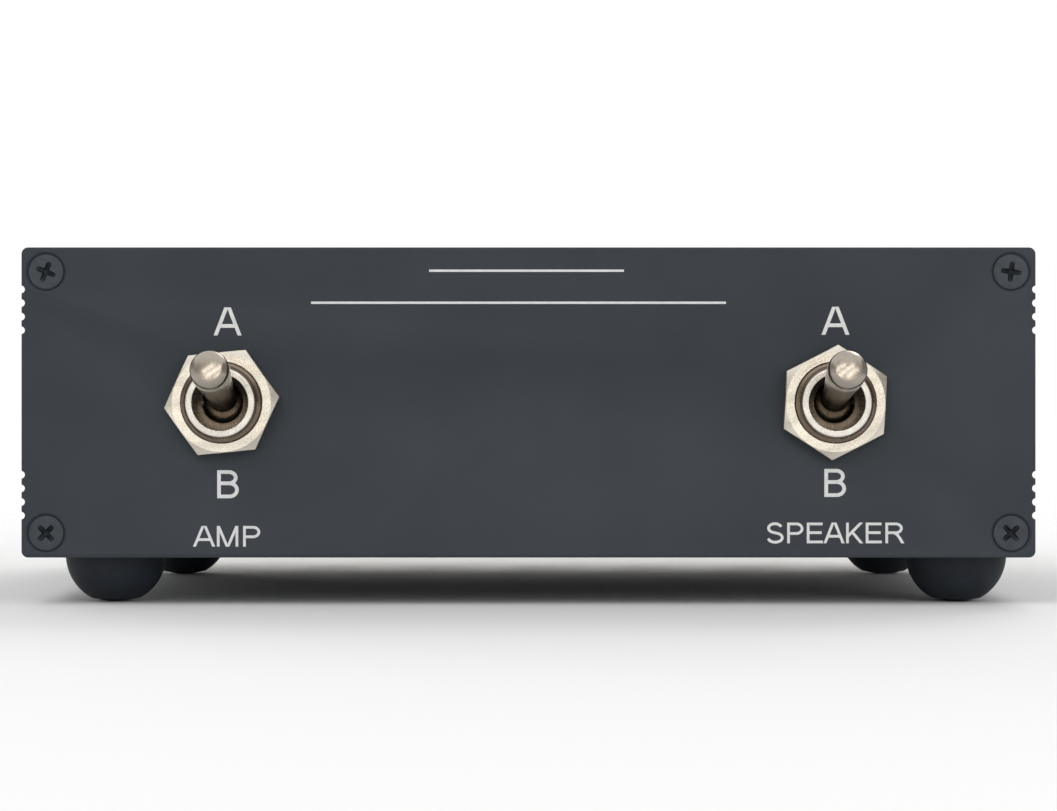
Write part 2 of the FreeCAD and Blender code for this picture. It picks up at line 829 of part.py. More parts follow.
def make_frame(name, side):
    """Metal part of a switch: the bushing, its plate and two tabs that hold the base."""
    body = new_body(name)
    stand = "-Size.bushing_stand"
    neck = f"({stand} + Size.bushing_neck_depth)"
    shoulder = f"({neck} + Size.bushing_neck_depth / 3)"
    turn(
        body,
        "Bushing",
        [
            ("Size.bushing_mouth_radius", stand),
            ("Size.bushing_radius - Size.bushing_bevel", stand),
            ("Size.bushing_radius", f"{stand} + Size.bushing_bevel"),
            ("Size.bushing_radius", PLATE_BACK),
            (CAVITY, PLATE_BACK),
            (CAVITY, shoulder),
            ("Size.bushing_neck_radius", f"{neck} + ({shoulder} - {neck}) / 2"),
            ("Size.bushing_neck_radius", neck),
        ],
    )
    wide = "(Size.base_width / 2 + Size.frame_thickness)"
    plate = new_sketch(body, "PlateOutline", height="-Size.frame_start")
    draw_rectangle(
        plate, f"-{wide}", wide, "-Size.base_height / 2", "Size.base_height / 2"
    )
    draw_circle(plate, "0", "0", CAVITY)
    pad(body, "Plate", plate, "Size.frame_thickness")
    tabs = new_sketch(body, "TabOutlines", height="-Size.frame_start")
    for left, right in ((f"-{wide}", "-Size.base_width / 2"), ("Size.base_width / 2", wide)):
        draw_rectangle(
            tabs, left, right, "-Size.frame_tab_width / 2", "Size.frame_tab_width / 2"
        )
    pad(body, "Tabs", tabs, "Size.frame_tab_length")
    pin = new_sketch(body, "PinOutline", "YZ_Plane")
    draw_circle(pin, "Size.pivot_depth", "0", "Size.pin_radius")
    pocket(body, "PinHole", pin, "3 * Size.bushing_radius", both_ways=True)
    return at_switch(body, side)


def make_base(name, side):
    """Moulded base of a switch: a box with slots for twelve terminal blades."""
    body = new_body(name)
    block = new_sketch(body, "BlockOutline", height=f"-{PLATE_BACK}")
    half_width = "Size.base_width / 2"
    half_height = "Size.base_height / 2"
    draw_rectangle(
        block, f"-{half_width}", half_width, f"-{half_height}", half_height
    )
    pad(body, "Block", block, "Size.base_depth")
    wall = "Size.base_wall"
    cavity = new_sketch(body, "CavityOutline", height=f"-{PLATE_BACK}")
    draw_rectangle(
        cavity,
        f"-{half_width} + {wall}",
        f"{half_width} - {wall}",
        f"-{half_height} + {wall}",
        f"{half_height} - {wall}",
    )
    pocket(body, "Cavity", cavity, "Size.base_depth - Size.base_floor")
    slot = new_sketch(body, "SlotOutline", height=f"-{PLATE_BACK}")
    draw_blade(slot, "-Size.throw_pitch")
    cut = pocket(body, "Slot", slot, "Size.base_depth")
    poles = (POLES, f"Size.pole_pitch * {POLES - 1}")
    repeat(body, "Slots", [cut], slot, poles, (3, "2 * Size.throw_pitch"))
    return at_switch(body, side)


def draw_blade(sketch, level):
    """The section of the first terminal blade of a row."""
    draw_rectangle(
        sketch,
        f"{FIRST_POLE} - Size.blade_width / 2",
        f"{FIRST_POLE} + Size.blade_width / 2",
        f"{level} - Size.blade_thickness / 2",
        f"{level} + Size.blade_thickness / 2",
    )


def make_terminals(name, side):
    """Twelve terminal blades: four in the middle that carry rockers, and two rows of four."""
    body = new_body(name)
    reach = "(Size.throw_pitch + Size.blade_thickness / 2)"
    outer_top = f"({FULCRUM} + {reach} * sin(Size.rocker_tilt * 1 deg) + Size.contact_gap)"
    outer = new_sketch(body, "OuterOutline", height=f"-{outer_top}")
    draw_blade(outer, "-Size.throw_pitch")
    blade = pad(body, "OuterBlade", outer, f"Size.blade_end - {outer_top}")
    poles = (POLES, f"Size.pole_pitch * {POLES - 1}")
    repeat(body, "OuterBlades", [blade], outer, poles, (2, "2 * Size.throw_pitch"))
    middle_top = f"({FULCRUM} + Size.rocker_ridge_radius + Size.contact_gap / 2)"
    middle = new_sketch(body, "MiddleOutline", height=f"-{middle_top}")
    draw_blade(middle, "0")
    blade = pad(body, "MiddleBlade", middle, f"Size.blade_end - {middle_top}")
    repeat(body, "MiddleBlades", [blade], middle, poles)
    return at_switch(body, side)


def make_pivot_pin(name, side):
    """The cross pin on which a lever turns, held in its bushing."""
    pin = doc.addObject("Part::Cylinder", name)
    pin.setExpression("Radius", "Size.pin_radius")
    pin.setExpression("Height", "2 * (Size.bushing_radius - Size.pin_inset)")
    pin.Placement = FreeCAD.Placement(FreeCAD.Vector(), FreeCAD.Rotation(Y_AXIS, 90))
    x = f"{side}{SWITCH_X} - Size.bushing_radius + Size.pin_inset"
    return place(pin, x, f"{FRONT} + Size.pivot_depth", MIDDLE)


def make_lever(name, side):
    """A bat lever with a ball that turns in the bushing and a stem that moves the contacts."""
    body = new_body(name)
    turn(
        body,
        "Bat",
        [
            ("0", "-Size.lever_length"),
            ("Size.lever_tip_radius", "-Size.lever_length"),
            ("Size.lever_tip_radius", "-Size.lever_length + Size.lever_tip_length"),
            ("Size.lever_neck_radius", "-Size.lever_neck_length"),
            ("Size.lever_neck_radius", "0"),
            ("Size.lever_stem_radius", "0"),
            (
                "Size.lever_stem_radius",
                "Size.actuator_start + Size.actuator_thickness - Size.actuator_skin",
            ),
            ("0", "Size.actuator_start + Size.actuator_thickness - Size.actuator_skin"),
        ],
    )
    tip = value("-Size.lever_length")
    round_edges(
        body,
        "TipRound",
        lambda e: abs(e.BoundBox.YMin - tip) < 0.01 and e.BoundBox.YLength < 0.01,
        "Size.lever_tip_round",
    )
    ball = body.newObject("PartDesign::AdditiveSphere", "Ball")
    ball.setExpression("Radius", "Size.ball_radius")
    pin = new_sketch(body, "PinOutline", "YZ_Plane")
    draw_circle(pin, "0", "0", "Size.pin_radius + Size.pin_clearance")
    pocket(body, "PinHole", pin, "4 * Size.ball_radius", both_ways=True)
    return at_switch(body, side, "Size.pivot_depth", X_AXIS, "-Size.lever_tilt")


def make_actuator(name, side):
    """A moulded bar on the lever's stem with four noses that tip the rockers."""
    body = new_body(name)
    start = "-Size.actuator_start"
    bar = new_sketch(body, "BarOutline", height=start)
    half = "(Size.base_width / 2 - Size.base_wall - Size.actuator_side_clearance)"
    draw_rectangle(
        bar, f"-{half}", half, "-Size.actuator_height / 2", "Size.actuator_height / 2"
    )
    pad(body, "Bar", bar, "Size.actuator_thickness")
    hole = new_sketch(body, "StemHoleOutline", height=start)
    draw_circle(hole, "0", "0", "Size.lever_stem_radius")
    pocket(body, "StemHole", hole, "Size.actuator_thickness - Size.actuator_skin")
    bottom = "(Size.actuator_start + Size.actuator_thickness)"
    nose = new_sketch(body, "NoseOutline", height=f"-{bottom}")
    draw_circle(nose, FIRST_POLE, "0", "Size.nose_radius")
    shank = pad(body, "Nose", nose, "Size.nose_length")
    poles = (POLES, f"Size.pole_pitch * {POLES - 1}")
    repeat(body, "Noses", [shank], nose, poles)
    end = value(NOSE_END)
    round_edges(
        body,
        "NoseRounds",
        lambda e: abs(e.BoundBox.YMin - end) < 0.01 and e.BoundBox.YLength < 0.01,
        "Size.nose_bevel",
    )
    return at_switch(body, side, "Size.pivot_depth", X_AXIS, "-Size.lever_tilt")


def make_rockers(name, side):
    """Four contact rockers, each a plate that tips on a round ridge over its terminal."""
    body = new_body(name)
    plate = new_sketch(body, "PlateOutline", height="0")
    draw_rectangle(
        plate,
        f"{FIRST_POLE} - Size.rocker_width / 2",
        f"{FIRST_POLE} + Size.rocker_width / 2",
        "-Size.rocker_half_length",
        "Size.rocker_half_length",
    )
    features = [pad(body, "Plate", plate, "Size.rocker_thickness", forwards=False)]
    ridge = new_sketch(
        body, "RidgeOutline", "YZ_Plane", f"{FIRST_POLE} - Size.rocker_width / 2"
    )
    draw_circle(ridge, "0", "0", "Size.rocker_ridge_radius")
    features.append(pad(body, "Ridge", ridge, "Size.rocker_width", forwards=False))
    poles = (POLES, f"Size.pole_pitch * {POLES - 1}")
    repeat(body, "Poles", features, plate, poles)
    return at_switch(body, side, FULCRUM, X_AXIS, "Size.rocker_tilt")


def make_switches():
    """The two toggle switches. Their small fixed pieces share nodes in pairs."""
    nuts, back_nuts, washers, terminals, pins = [], [], [], [], []
    for name, side in (("amp", "-"), ("speaker", "")):
        nut_turn = f"Size.{name}_nut_turn"
        make_frame(f"{name}_switch_frame", side)
        make_base(f"{name}_switch_base", side)
        make_lever(f"{name}_switch_lever", side)
        make_actuator(f"{name}_switch_actuator", side)
        make_rockers(f"{name}_switch_rockers", side)
        nuts.append(
            make_nut(f"{name}_nut", side, "-Size.nut_thickness", "Size.nut_thickness", nut_turn)
        )
        back_nuts.append(
            make_nut(
                f"{name}_back_nut",
                side,
                "Size.panel_thickness + Size.lock_washer_thickness",
                "Size.back_nut_thickness",
                nut_turn,
            )
        )
        washers.append(make_lock_washer(f"{name}_lock_washer", side))
        terminals.append(make_terminals(f"{name}_terminals", side))
        pins.append(make_pivot_pin(f"{name}_pin", side))
    group("switch_front_nuts", nuts)
    group("switch_back_nuts", back_nuts)
    group("switch_lock_washers", washers)
    group("switch_terminals", terminals)
    group("switch_pivot_pins", pins)


# The whole object -----------------------------------------------------------------------------

make_front_panel()
make_rear_panel()
make_shells()
make_screws("front_panel_screws", FRONT, "0")
make_screws("rear_panel_screws", REAR, "180")
make_feet()
make_outer_insulators()
make_studs()
make_washers_behind()
make_lugs()
make_post_nuts()
make_caps()
make_switches()
doc.recompute()

members = {m.Name for c in doc.Objects if c.TypeId == "Part::Compound" for m in c.Links}
nodes = [
    item
    for item in doc.Objects
    if item.TypeId in ("PartDesign::Body", "Part::Compound") and item.Name not in members
]
for item in doc.Objects:
    if "Invalid" in item.State or "Error" in item.State:
        raise RuntimeError(f"{item.Label} failed: {item.State}")
for item in nodes:
    if item.Shape.isNull() or not item.Shape.isValid():
        raise RuntimeError(f"{item.Label} has no valid shape")

os.makedirs("parts", exist_ok=True)
for item in nodes:
    item.Shape.exportStep(f"parts/{item.Label}.step")
    print(item.Label, len(item.Shape.Solids), round(item.Shape.Volume, 2))
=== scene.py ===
"""Looks of a speaker selector switch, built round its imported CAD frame.

The box has two toggle switches in its front panel and sixteen binding posts in its rear panel.
Lengths are in millimetres, in the frame's axes: +X to the right as seen from the switches, +Z
up, and -Y towards the person who uses the switches. What Blender is given is in metres.
"""

import logging
import math
from collections.abc import Sequence
from dataclasses import dataclass, field
from enum import Enum

import bmesh
import bpy
from mathutils import Matrix, Vector

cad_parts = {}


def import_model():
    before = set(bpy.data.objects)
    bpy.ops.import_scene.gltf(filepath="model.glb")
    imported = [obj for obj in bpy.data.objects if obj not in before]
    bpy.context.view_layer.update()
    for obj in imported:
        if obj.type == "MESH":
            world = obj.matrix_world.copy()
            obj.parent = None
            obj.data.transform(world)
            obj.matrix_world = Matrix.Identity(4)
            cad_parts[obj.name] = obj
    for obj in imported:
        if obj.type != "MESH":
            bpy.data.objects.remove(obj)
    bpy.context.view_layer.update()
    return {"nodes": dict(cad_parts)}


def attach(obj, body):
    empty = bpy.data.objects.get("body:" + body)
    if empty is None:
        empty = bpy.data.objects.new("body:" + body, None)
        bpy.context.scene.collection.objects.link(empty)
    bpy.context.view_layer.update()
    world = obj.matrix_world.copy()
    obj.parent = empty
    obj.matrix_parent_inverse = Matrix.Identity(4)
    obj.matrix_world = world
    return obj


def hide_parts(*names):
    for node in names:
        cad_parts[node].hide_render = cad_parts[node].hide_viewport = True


MM = 0.001
TINY = 1e-6
SMOOTH = 32.0  # Degrees from which an edge of a plain piece is sharp.
CRISP = 24.0  # The same for a piece with fine bevels.
NOISE_SPAN = (0.3, 0.7)  # Where nearly all values of a noise lie.
LOCAL = "local"  # The attribute that keeps a point's place in its piece's own axes.
log = logging.getLogger("selector")

Colour = tuple[float, float, float]
Path = tuple[tuple[float, float], ...]
Rows = Sequence[tuple[float, ...]]
Ring = list[bmesh.types.BMVert]
Work = bmesh.types.BMesh
Mesh = bpy.types.Mesh
Object = bpy.types.Object
Socket = bpy.types.NodeSocket
Material = bpy.types.Material


def linear(colour: Colour) -> tuple[float, ...]:
    """Turn a colour as it is written on screen into the renderer's linear values.

    Args:
        colour: red, green and blue from 0 to 255.

    Returns:
        Linear red, green, blue and an alpha of 1.
    """
    levels = [c / 255.0 for c in colour]
    bent = [v / 12.92 if v <= 0.04045 else ((v + 0.055) / 1.055) ** 2.4 for v in levels]
    return (*bent, 1.0)


def tinted(colour: Colour, factor: float) -> Colour:
    """A screen colour made lighter or darker by a factor, and kept below 256."""
    return tuple(min(255.0, c * factor) for c in colour)


def per_metre(size: float) -> float:
    """How many steps of a size in millimetres go into a metre."""
    return 1.0 / (size * MM)


# Materials --------------------------------------------------------------------------------


class NodeGraph:
    """A node tree, with a short way to add nodes and join them."""

    def __init__(self, tree: bpy.types.NodeTree) -> None:
        """Start from a tree."""
        self.tree = tree

    def add(
        self, kind: str, links: dict[int | str, object] | None = None, **settings: object
    ) -> bpy.types.Node:
        """Add a node.

        Args:
            kind: the node's type.
            links: for an input's name or number, the socket it is joined to or a plain value.
            settings: properties of the node.

        Returns:
            The node.
        """
        node = self.tree.nodes.new(kind)
        for key, value in settings.items():
            setattr(node, key, value)
        for key, source in (links or {}).items():
            if isinstance(source, Socket):
                self.tree.links.new(source, node.inputs[key])
            else:
                node.inputs[key].default_value = source
        return node

    def math(self, operation: str, *values: object) -> Socket:
        """The result of a math operation on sockets or numbers."""
        links = dict(enumerate(values))
        return self.add("ShaderNodeMath", links, operation=operation).outputs[0]

    def vector(self, x: object, y: object) -> Socket:
        """A vector that X and Y make."""
        return self.add("ShaderNodeCombineXYZ", {0: x, 1: y}).outputs[0]


class MaterialGraph(NodeGraph):
    """A new material's node tree."""

    def __init__(self, name: str) -> None:
        """Start an empty material.

        Args:
            name: what the material is called.
        """
        self.material = bpy.data.materials.new(name)
        self.material.use_nodes = True
        super().__init__(self.material.node_tree)
        self.tree.nodes.clear()

    def end(self, shader: Socket) -> Material:
        """Make a shader the material's surface, and give the material back."""
        self.add("ShaderNodeOutputMaterial", {"Surface": shader})
        return self.material

    def place(self) -> Socket:
        """The place of a point in the frame's axes, in metres."""
        return self.add("ShaderNodeTexCoord").outputs["Object"]

    def local(self) -> Socket:
        """The place of a point in its own piece's axes, in metres."""
        return self.add("ShaderNodeAttribute", attribute_name=LOCAL).outputs["Vector"]

    def split(self, vector: Socket) -> Sequence[Socket]:
        """A vector's three parts."""
        return self.add("ShaderNodeSeparateXYZ", {0: vector}).outputs

    def noise(self, vector: Socket, scale: float, detail: float = 3.0) -> Socket:
        """A noise from 0 to 1, by its lumps to a unit of the vector and its finer layers."""
        links = {"Vector": vector, "Scale": scale, "Detail": detail}
        return self.add("ShaderNodeTexNoise", links, noise_dimensions="3D").outputs["Fac"]

    def ramp(
        self, value: Socket, low: float, high: float, start: float = 0.0, end: float = 1.0
    ) -> Socket:
        """A value mapped so that low gives start and high gives end, and held between them."""
        links = {"Value": value, "From Min": low, "From Max": high, "To Min": start, "To Max": end}
        return self.add("ShaderNodeMapRange", links).outputs["Result"]

    def blend(self, factor: Socket, first: object, second: object) -> Socket:
        """Blend two colours.

        Args:
            factor: 0 for the first and 1 for the second.
            first: a colour as written on screen, or a socket.
            second: another.

        Returns:
            The colour.
        """
        start, end = (linear(c) if isinstance(c, tuple) else c for c in (first, second))
        links = {0: factor, 6: start, 7: end}
        return self.add("ShaderNodeMix", links, data_type="RGBA").outputs[2]

    def bump(self, height: Socket, depth: float) -> Socket:
        """The normal of a surface that a height of 1 raises by a depth in millimetres."""
        links = {"Strength": 1.0, "Distance": depth * MM, "Height": height}
        return self.add("ShaderNodeBump", links).outputs["Normal"]

    def surface(self, colour: object, roughness: object, **links: object) -> Socket:
        """Make a general surface.

        Args:
            colour: a colour socket, or a colour as written on screen.
            roughness: a socket or a number.
            links: further inputs, with low lines in their names' gaps.

        Returns:
            The shader.
        """
        if isinstance(colour, tuple):
            colour = linear(colour)
        further = {name.replace("_", " "): source for name, source in links.items()}
        links = {"Base Color": colour, "Roughness": roughness, **further}
        return self.add("ShaderNodeBsdfPrincipled", links).outputs[0]


@dataclass(frozen=True)
class Finish:
    """A surface's look: the base of all finishes, and plain moulded or painted matter."""

    name: str
    colour: Colour
    roughness: float = 0.5
    metallic: float = 0.0
    mottle: float = 0.05
    mottle_size: float = 8.0
    grain: float = 0.01
    grain_size: float = 0.25
    sheen: float = 0.5

    def material(self) -> Material:
        """The finish's material, made on first use.

        Returns:
            The material.
        """
        own = f"look_{self.name}"
        found = bpy.data.materials.get(own)
        if found:
            return found
        graph = MaterialGraph(own)
        return graph.end(self.shader(graph))

    def mottled(self, graph: MaterialGraph, vector: Socket) -> Socket:
        """Vary the colour slowly over the surface.

        Args:
            graph: the material's graph.
            vector: the coordinate the patches follow.

        Returns:
            The colour.
        """
        patches = graph.noise(vector, per_metre(self.mottle_size))
        ends = [tinted(self.colour, 1 + way * self.mottle) for way in (-1, 1)]
        return graph.blend(graph.ramp(patches, *NOISE_SPAN), *ends)

    def varied(
        self, graph: MaterialGraph, noise: Socket, share: float, reach: float = 0.2
    ) -> Socket:
        """Vary the roughness with a noise.

        Args:
            graph: the material's graph.
            noise: a value that lies round a half.
            share: how much is added or taken away at most, as a share of the roughness.
            reach: how far from a half the noise has its full effect.

        Returns:
            The roughness.
        """
        ends = [self.roughness * (1 + way * share) for way in (-1, 1)]
        return graph.ramp(noise, 0.5 - reach, 0.5 + reach, *ends)

    def shader(self, graph: MaterialGraph) -> Socket:
        """Draw the finish.

        Args:
            graph: an empty graph.

        Returns:
            The shader.
        """
        fine = graph.noise(graph.place(), per_metre(self.grain_size), 2.0)
        return graph.surface(
            self.mottled(graph, graph.place()),
            self.varied(graph, fine, 0.08),
            Metallic=self.metallic,
            Specular_IOR_Level=self.sheen,
            Normal=graph.bump(fine, self.grain),
        )


@dataclass(frozen=True)
class TurnedMetal(Finish):
    """Metal with the rings a lathe leaves, scratches that run outwards, and painted shade inside
    an inner radius and beyond an outer one.
    """

    rings: float = 0.004
    ring_pitch: float = 0.22
    scratches: float = 0.004
    streaks: int = 40
    streak_rate: float = 600.0
    # Painted shade: inside the inner radius and beyond the outer one, the colour turns to the
    # shade colour over a soft edge.
    inner_radius: float = 0.0
    outer_radius: float = 1000.0
    painted_shade_edge: float = 0.12
    painted_shade: Colour = (96, 80, 66)

    def shader(self, graph: MaterialGraph) -> Socket:
        """Draw the finish.

        Args:
            graph: an empty graph.

        Returns:
            The shader.
        """
        x, y, z = graph.split(graph.local())
        squares = [graph.math("MULTIPLY", part, part) for part in (x, z)]
        radius = graph.math("SQRT", graph.math("ADD", *squares))
        angle = graph.math("ARCTAN2", z, x)

        def times(part: Socket, rate: float) -> Socket:
            """A value at a rate."""
            return graph.math("MULTIPLY", part, rate)

        pitch = per_metre(self.ring_pitch)
        ring = graph.noise(graph.vector(times(radius, pitch), times(y, pitch)), 1.0, 1.0)
        outwards = graph.vector(times(angle, self.streaks), times(radius, self.streak_rate))
        scratch = graph.noise(outwards, 1.0)
        # Painted shade by radius: a share of 1 inside the inner radius and beyond the outer one.
        inner, outer = self.inner_radius * MM, self.outer_radius * MM
        soft = self.painted_shade_edge * MM
        core = graph.ramp(radius, inner - soft, inner, 1.0, 0.0)
        painted_shade_share = graph.math("ADD", core, graph.ramp(radius, outer, outer + soft))
        height = graph.math("ADD", times(ring, self.rings), times(scratch, self.scratches))
        return graph.surface(
            graph.blend(painted_shade_share, self.mottled(graph, graph.place()), self.painted_shade),
            self.varied(graph, scratch, 0.2, 0.15),
            Metallic=self.metallic,
            Normal=graph.bump(height, 1.0),
        )


@dataclass(frozen=True)
class BrushedMetal(Finish):
    """Metal with fine straight scratches along one axis of the piece."""

    stretch: Colour = (0.08, 1.0, 1.0)
    scratch: float = 0.006

    def shader(self, graph: MaterialGraph) -> Socket:
        """Draw the finish.

        Args:
            graph: an empty graph.

        Returns:
            The shader.
        """
        links = {"Vector": graph.local(), "Scale": self.stretch}
        along = graph.add("ShaderNodeMapping", links).outputs[0]
        lines = graph.noise(along, per_metre(self.grain_size), 4.0)
        return graph.surface(
            self.mottled(graph, along),
            self.varied(graph, lines, 0.25),
            Metallic=self.metallic,
            Normal=graph.bump(lines, self.scratch),
        )


@dataclass(frozen=True)
class ClearPlastic(Finish):
    """Plastic that light passes through."""

    index: float = 1.49
    clarity: float = 1.0

    def shader(self, graph: MaterialGraph) -> Socket:
        """Draw the finish.

        Args:
            graph: an empty graph.

        Returns:
            The shader.
        """
        waves = graph.noise(graph.place(), per_metre(self.grain_size), 1.0)
        return graph.surface(
            self.colour,
            self.varied(graph, waves, 0.5),
            Transmission_Weight=self.clarity,
            IOR=self.index,
            Normal=graph.bump(waves, self.grain),
        )


@dataclass(frozen=True)
class FadingFloor(Finish):
    """A pale floor that takes shadows near the object and melts into the background."""

    solid: float = 150.0
    gone: float = 420.0

    def shader(self, graph: MaterialGraph) -> Socket:
        """Draw the finish.

        Args:
            graph: an empty graph.

        Returns:
            The shader.
        """
        length = graph.add("ShaderNodeVectorMath", {0: graph.place()}, operation="LENGTH")
        fade = graph.ramp(length.outputs["Value"], self.solid * MM, self.gone * MM)
        solid = graph.surface(self.colour, self.roughness, Specular_IOR_Level=self.sheen)
        clear = graph.add("ShaderNodeBsdfTransparent").outputs[0]
        return graph.add("ShaderNodeMixShader", {0: fade, 1: solid, 2: clear}).outputs[0]


@dataclass(frozen=True)
class GlowingCard(Finish):
    """A studio card that metal reflects, bright and dark in soft bands."""

    low: float = 0.22
    high: float = 1.0
    band: float = 1000.0
    eye_level: float = 30.0

    def shader(self, graph: MaterialGraph) -> Socket:
        """Draw the finish.

        Args:
            graph: an empty graph.

        Returns:
            The shader.
        """
        above = graph.math("SUBTRACT", graph.split(graph.place())[2], self.eye_level * MM)
        turn = graph.math("MULTIPLY", above, math.tau * per_metre(self.band))
        glow = graph.ramp(graph.math("COSINE", turn), -1.0, 1.0, self.low, self.high)
        links = {"Color": linear(self.colour), "Strength": glow}
        return graph.add("ShaderNodeEmission", links).outputs[0]


WARM = (255, 252, 246)


class Look(Enum):
    """Every finish the object and its studio use."""

    CASE = Finish("anodised_case", (53, 58, 64), 0.5, 0.0, 0.04, 14.0, 0.005, 0.18, sheen=0.2)
    INK = Finish("silver_ink", (214, 215, 214), 0.6, 0.0, 0.03, 1.2, 0.004, 0.12, sheen=0.2)
    SCREW = Finish("dark_screws", (50, 55, 62), 0.4, 0.3, 0.1, 1.0, 0.008, 0.15)
    RUBBER = Finish("foot_rubber", (28, 34, 42), 0.6, 0.0, 0.12, 3.0, 0.02, 0.2, sheen=0.3)
    # Beyond a radius of 5.1 mm the nickel turns brown: painted shade on the thread between the nut
    # and the bushing.
    NICKEL = TurnedMetal(
        "turned_nickel",
        (226, 221, 214),
        0.3,
        1.0,
        mottle_size=2.0,
        outer_radius=5.1,
        painted_shade=(150, 134, 118),
    )
    NUT = BrushedMetal("brushed_nickel", (230, 223, 210), 0.28, 1.0, 0.08, 2.5, 0.006, 0.12)
    LEVER = TurnedMetal(
        "bright_nickel", (176, 167, 156), 0.2, 1.0, 0.03, 2.0, rings=0.0012, scratches=0.0012
    )
    # Inside a radius of 2.1 mm the gold turns dark brown: painted shade in the socket.
    GOLD = TurnedMetal(
        "turned_gold",
        (206, 191, 164),
        0.24,
        1.0,
        mottle_size=2.5,
        rings=0.005,
        inner_radius=2.1,
        painted_shade=(150, 128, 112),
    )
    STUD = TurnedMetal("gilt_stud", (202, 184, 152), 0.34, 1.0, 0.08, 2.0)
    CLEAR = ClearPlastic(
        "clear_plastic", (240, 230, 212), 0.05, grain=0.004, grain_size=1.2, clarity=0.88
    )
    SMOKY = ClearPlastic(
        "smoky_plastic", (92, 66, 66), 0.08, grain=0.004, grain_size=0.8, clarity=0.85
    )
    TINNED = Finish("tinned_brass", (196, 192, 182), 0.4, 1.0, 0.08, 1.5, 0.01, 0.3)
    STEEL = Finish("zinc_steel", (170, 172, 174), 0.35, 1.0, 0.08, 1.5, 0.006, 0.2)
    PLATED = Finish("plated_steel", (206, 201, 192), 0.3, 1.0, 0.07, 1.5, 0.006, 0.2)
    GILT = Finish("gilt_brass", (200, 180, 146), 0.32, 1.0, 0.07, 1.5, 0.006, 0.2)
    BLACK = Finish("black_nylon", (28, 28, 30), 0.5, 0.0, 0.06, 3.0, 0.01, 0.3)
    CONTACT = Finish("silvered_copper", (216, 202, 186), 0.3, 1.0, 0.07, 1.2, 0.005, 0.2)
    MOULDING = Finish("switch_moulding", (34, 44, 70), 0.45, 0.0, 0.05, 4.0, 0.01, 0.3)
    ACTUATOR = Finish("white_nylon", (214, 212, 204), 0.5, 0.0, 0.03, 3.0, 0.01, 0.3)
    FLOOR = FadingFloor("pale_floor", (242, 242, 242), 0.8, sheen=0.2)
    CARD = GlowingCard("studio_card", WARM, low=0.35)
    REAR_CARD = GlowingCard("rear_card", WARM, low=1.0, high=0.6)
    LEFT_CARD = GlowingCard("left_card", WARM, low=0.35, high=0.75)
    RIGHT_CARD = GlowingCard("right_card", WARM, low=0.3, high=0.4)
    STRIP = GlowingCard("strip_light", WARM, low=5.0, high=5.0)

    @property
    def material(self) -> Material:
        """The look's material."""
        return self.value.material()


# Meshes -----------------------------------------------------------------------------------


def around(radius: float, along: float, turn: float) -> Vector:
    """A place round the Y axis, in metres."""
    return Vector((radius * MM * math.cos(turn), along * MM, radius * MM * math.sin(turn)))


def off_corner(turn: float, half: float) -> float:
    """How far an angle lies from the nearest of the corners that stand twice a half apart."""
    return abs((turn + half) % (2 * half) - half)


def full_turn(count: int) -> list[float]:
    """Evenly spaced angles of a full turn."""
    return [math.tau * i / count for i in range(count)]


def bridge(work: Work, rings: list[Ring], closed: bool = False) -> None:
    """Join each ring of vertices to the next one with faces.

    Args:
        work: the working mesh.
        rings: the rings, of one length but for a tip, which is a single vertex.
        closed: whether the last ring is joined to the first.
    """
    count = max(len(ring) for ring in rings)
    for first, second in zip(rings, rings[1:] + (rings[:1] if closed else [])):
        for i in range(count):
            j = (i + 1) % count
            ends = ((first, i), (first, j), (second, j), (second, i))
            corners = list(dict.fromkeys(ring[k % len(ring)] for ring, k in ends))
            if len(corners) > 2:
                work.faces.new(corners)


def crease_edges(mesh: Mesh, crease: float) -> None:
    """Shade a mesh smooth, with a crease at each edge that bends by more than an angle.

    Args:
        mesh: the mesh.
        crease: the angle in degrees.
    """
    work = bmesh.new()
    work.from_mesh(mesh)
    limit = math.radians(crease)
    for edge in work.edges:
        edge.smooth = len(edge.link_faces) == 2 and edge.calc_face_angle(0.0) < limit
    for face in work.faces:
        face.smooth = True
    work.to_mesh(mesh)
    work.free()


def stamp_local(mesh: Mesh) -> None:
    """Keep each point's place in the piece's own axes, for turned and brushed finishes.

    Args:
        mesh: the mesh.
    """
    if LOCAL in mesh.attributes:
        mesh.attributes.remove(mesh.attributes[LOCAL])
    layer = mesh.attributes.new(LOCAL, "FLOAT_VECTOR", "POINT")
    layer.data.foreach_set("vector", [c for v in mesh.vertices for c in v.co])


def finished_mesh(work: Work, name: str, crease: float = SMOOTH, stamp: bool = True) -> Mesh:
    """Turn a working mesh into a stored one, smooth but for its real edges.

    Args:
        work: the working mesh, which is freed.
        name: the stored mesh's name.
        crease: the angle in degrees from which an edge is sharp.
        stamp: whether each point's own place is kept as an attribute.

    Returns:
        The mesh.
    """
    bmesh.ops.recalc_face_normals(work, faces=work.faces)
    mesh = bpy.data.meshes.new(name)
    work.to_mesh(mesh)
    work.free()
    crease_edges(mesh, crease)
    if stamp:
        stamp_local(mesh)
    return mesh


def joined(name: str, meshes: list[Mesh], crease: float = SMOOTH, stamp: bool = False) -> Mesh:
    """Join meshes into one and drop the parts.

    Args:
        name: the joined mesh's name.
        meshes: the parts.
        crease: the angle in degrees from which an edge is sharp.
        stamp: whether the places in the parts' own axes give way to those in the whole's.

    Returns:
        The joined mesh.
    """
    work = bmesh.new()
    for part in meshes:
        work.from_mesh(part)
        bpy.data.meshes.remove(part)
    return finished_mesh(work, name, crease, stamp)


def box_into(work: Work, low: Vector, high: Vector) -> None:
    """Add a block to a working mesh.

    Args:
        work: the working mesh.
        low: its lowest corner.
        high: its highest corner.
    """
    span, middle = (high - low) * MM, (high + low) * MM / 2
    for vert in bmesh.ops.create_cube(work, size=1.0)["verts"]:
        vert.co = Vector(a * b for a, b in zip(vert.co, span)) + middle


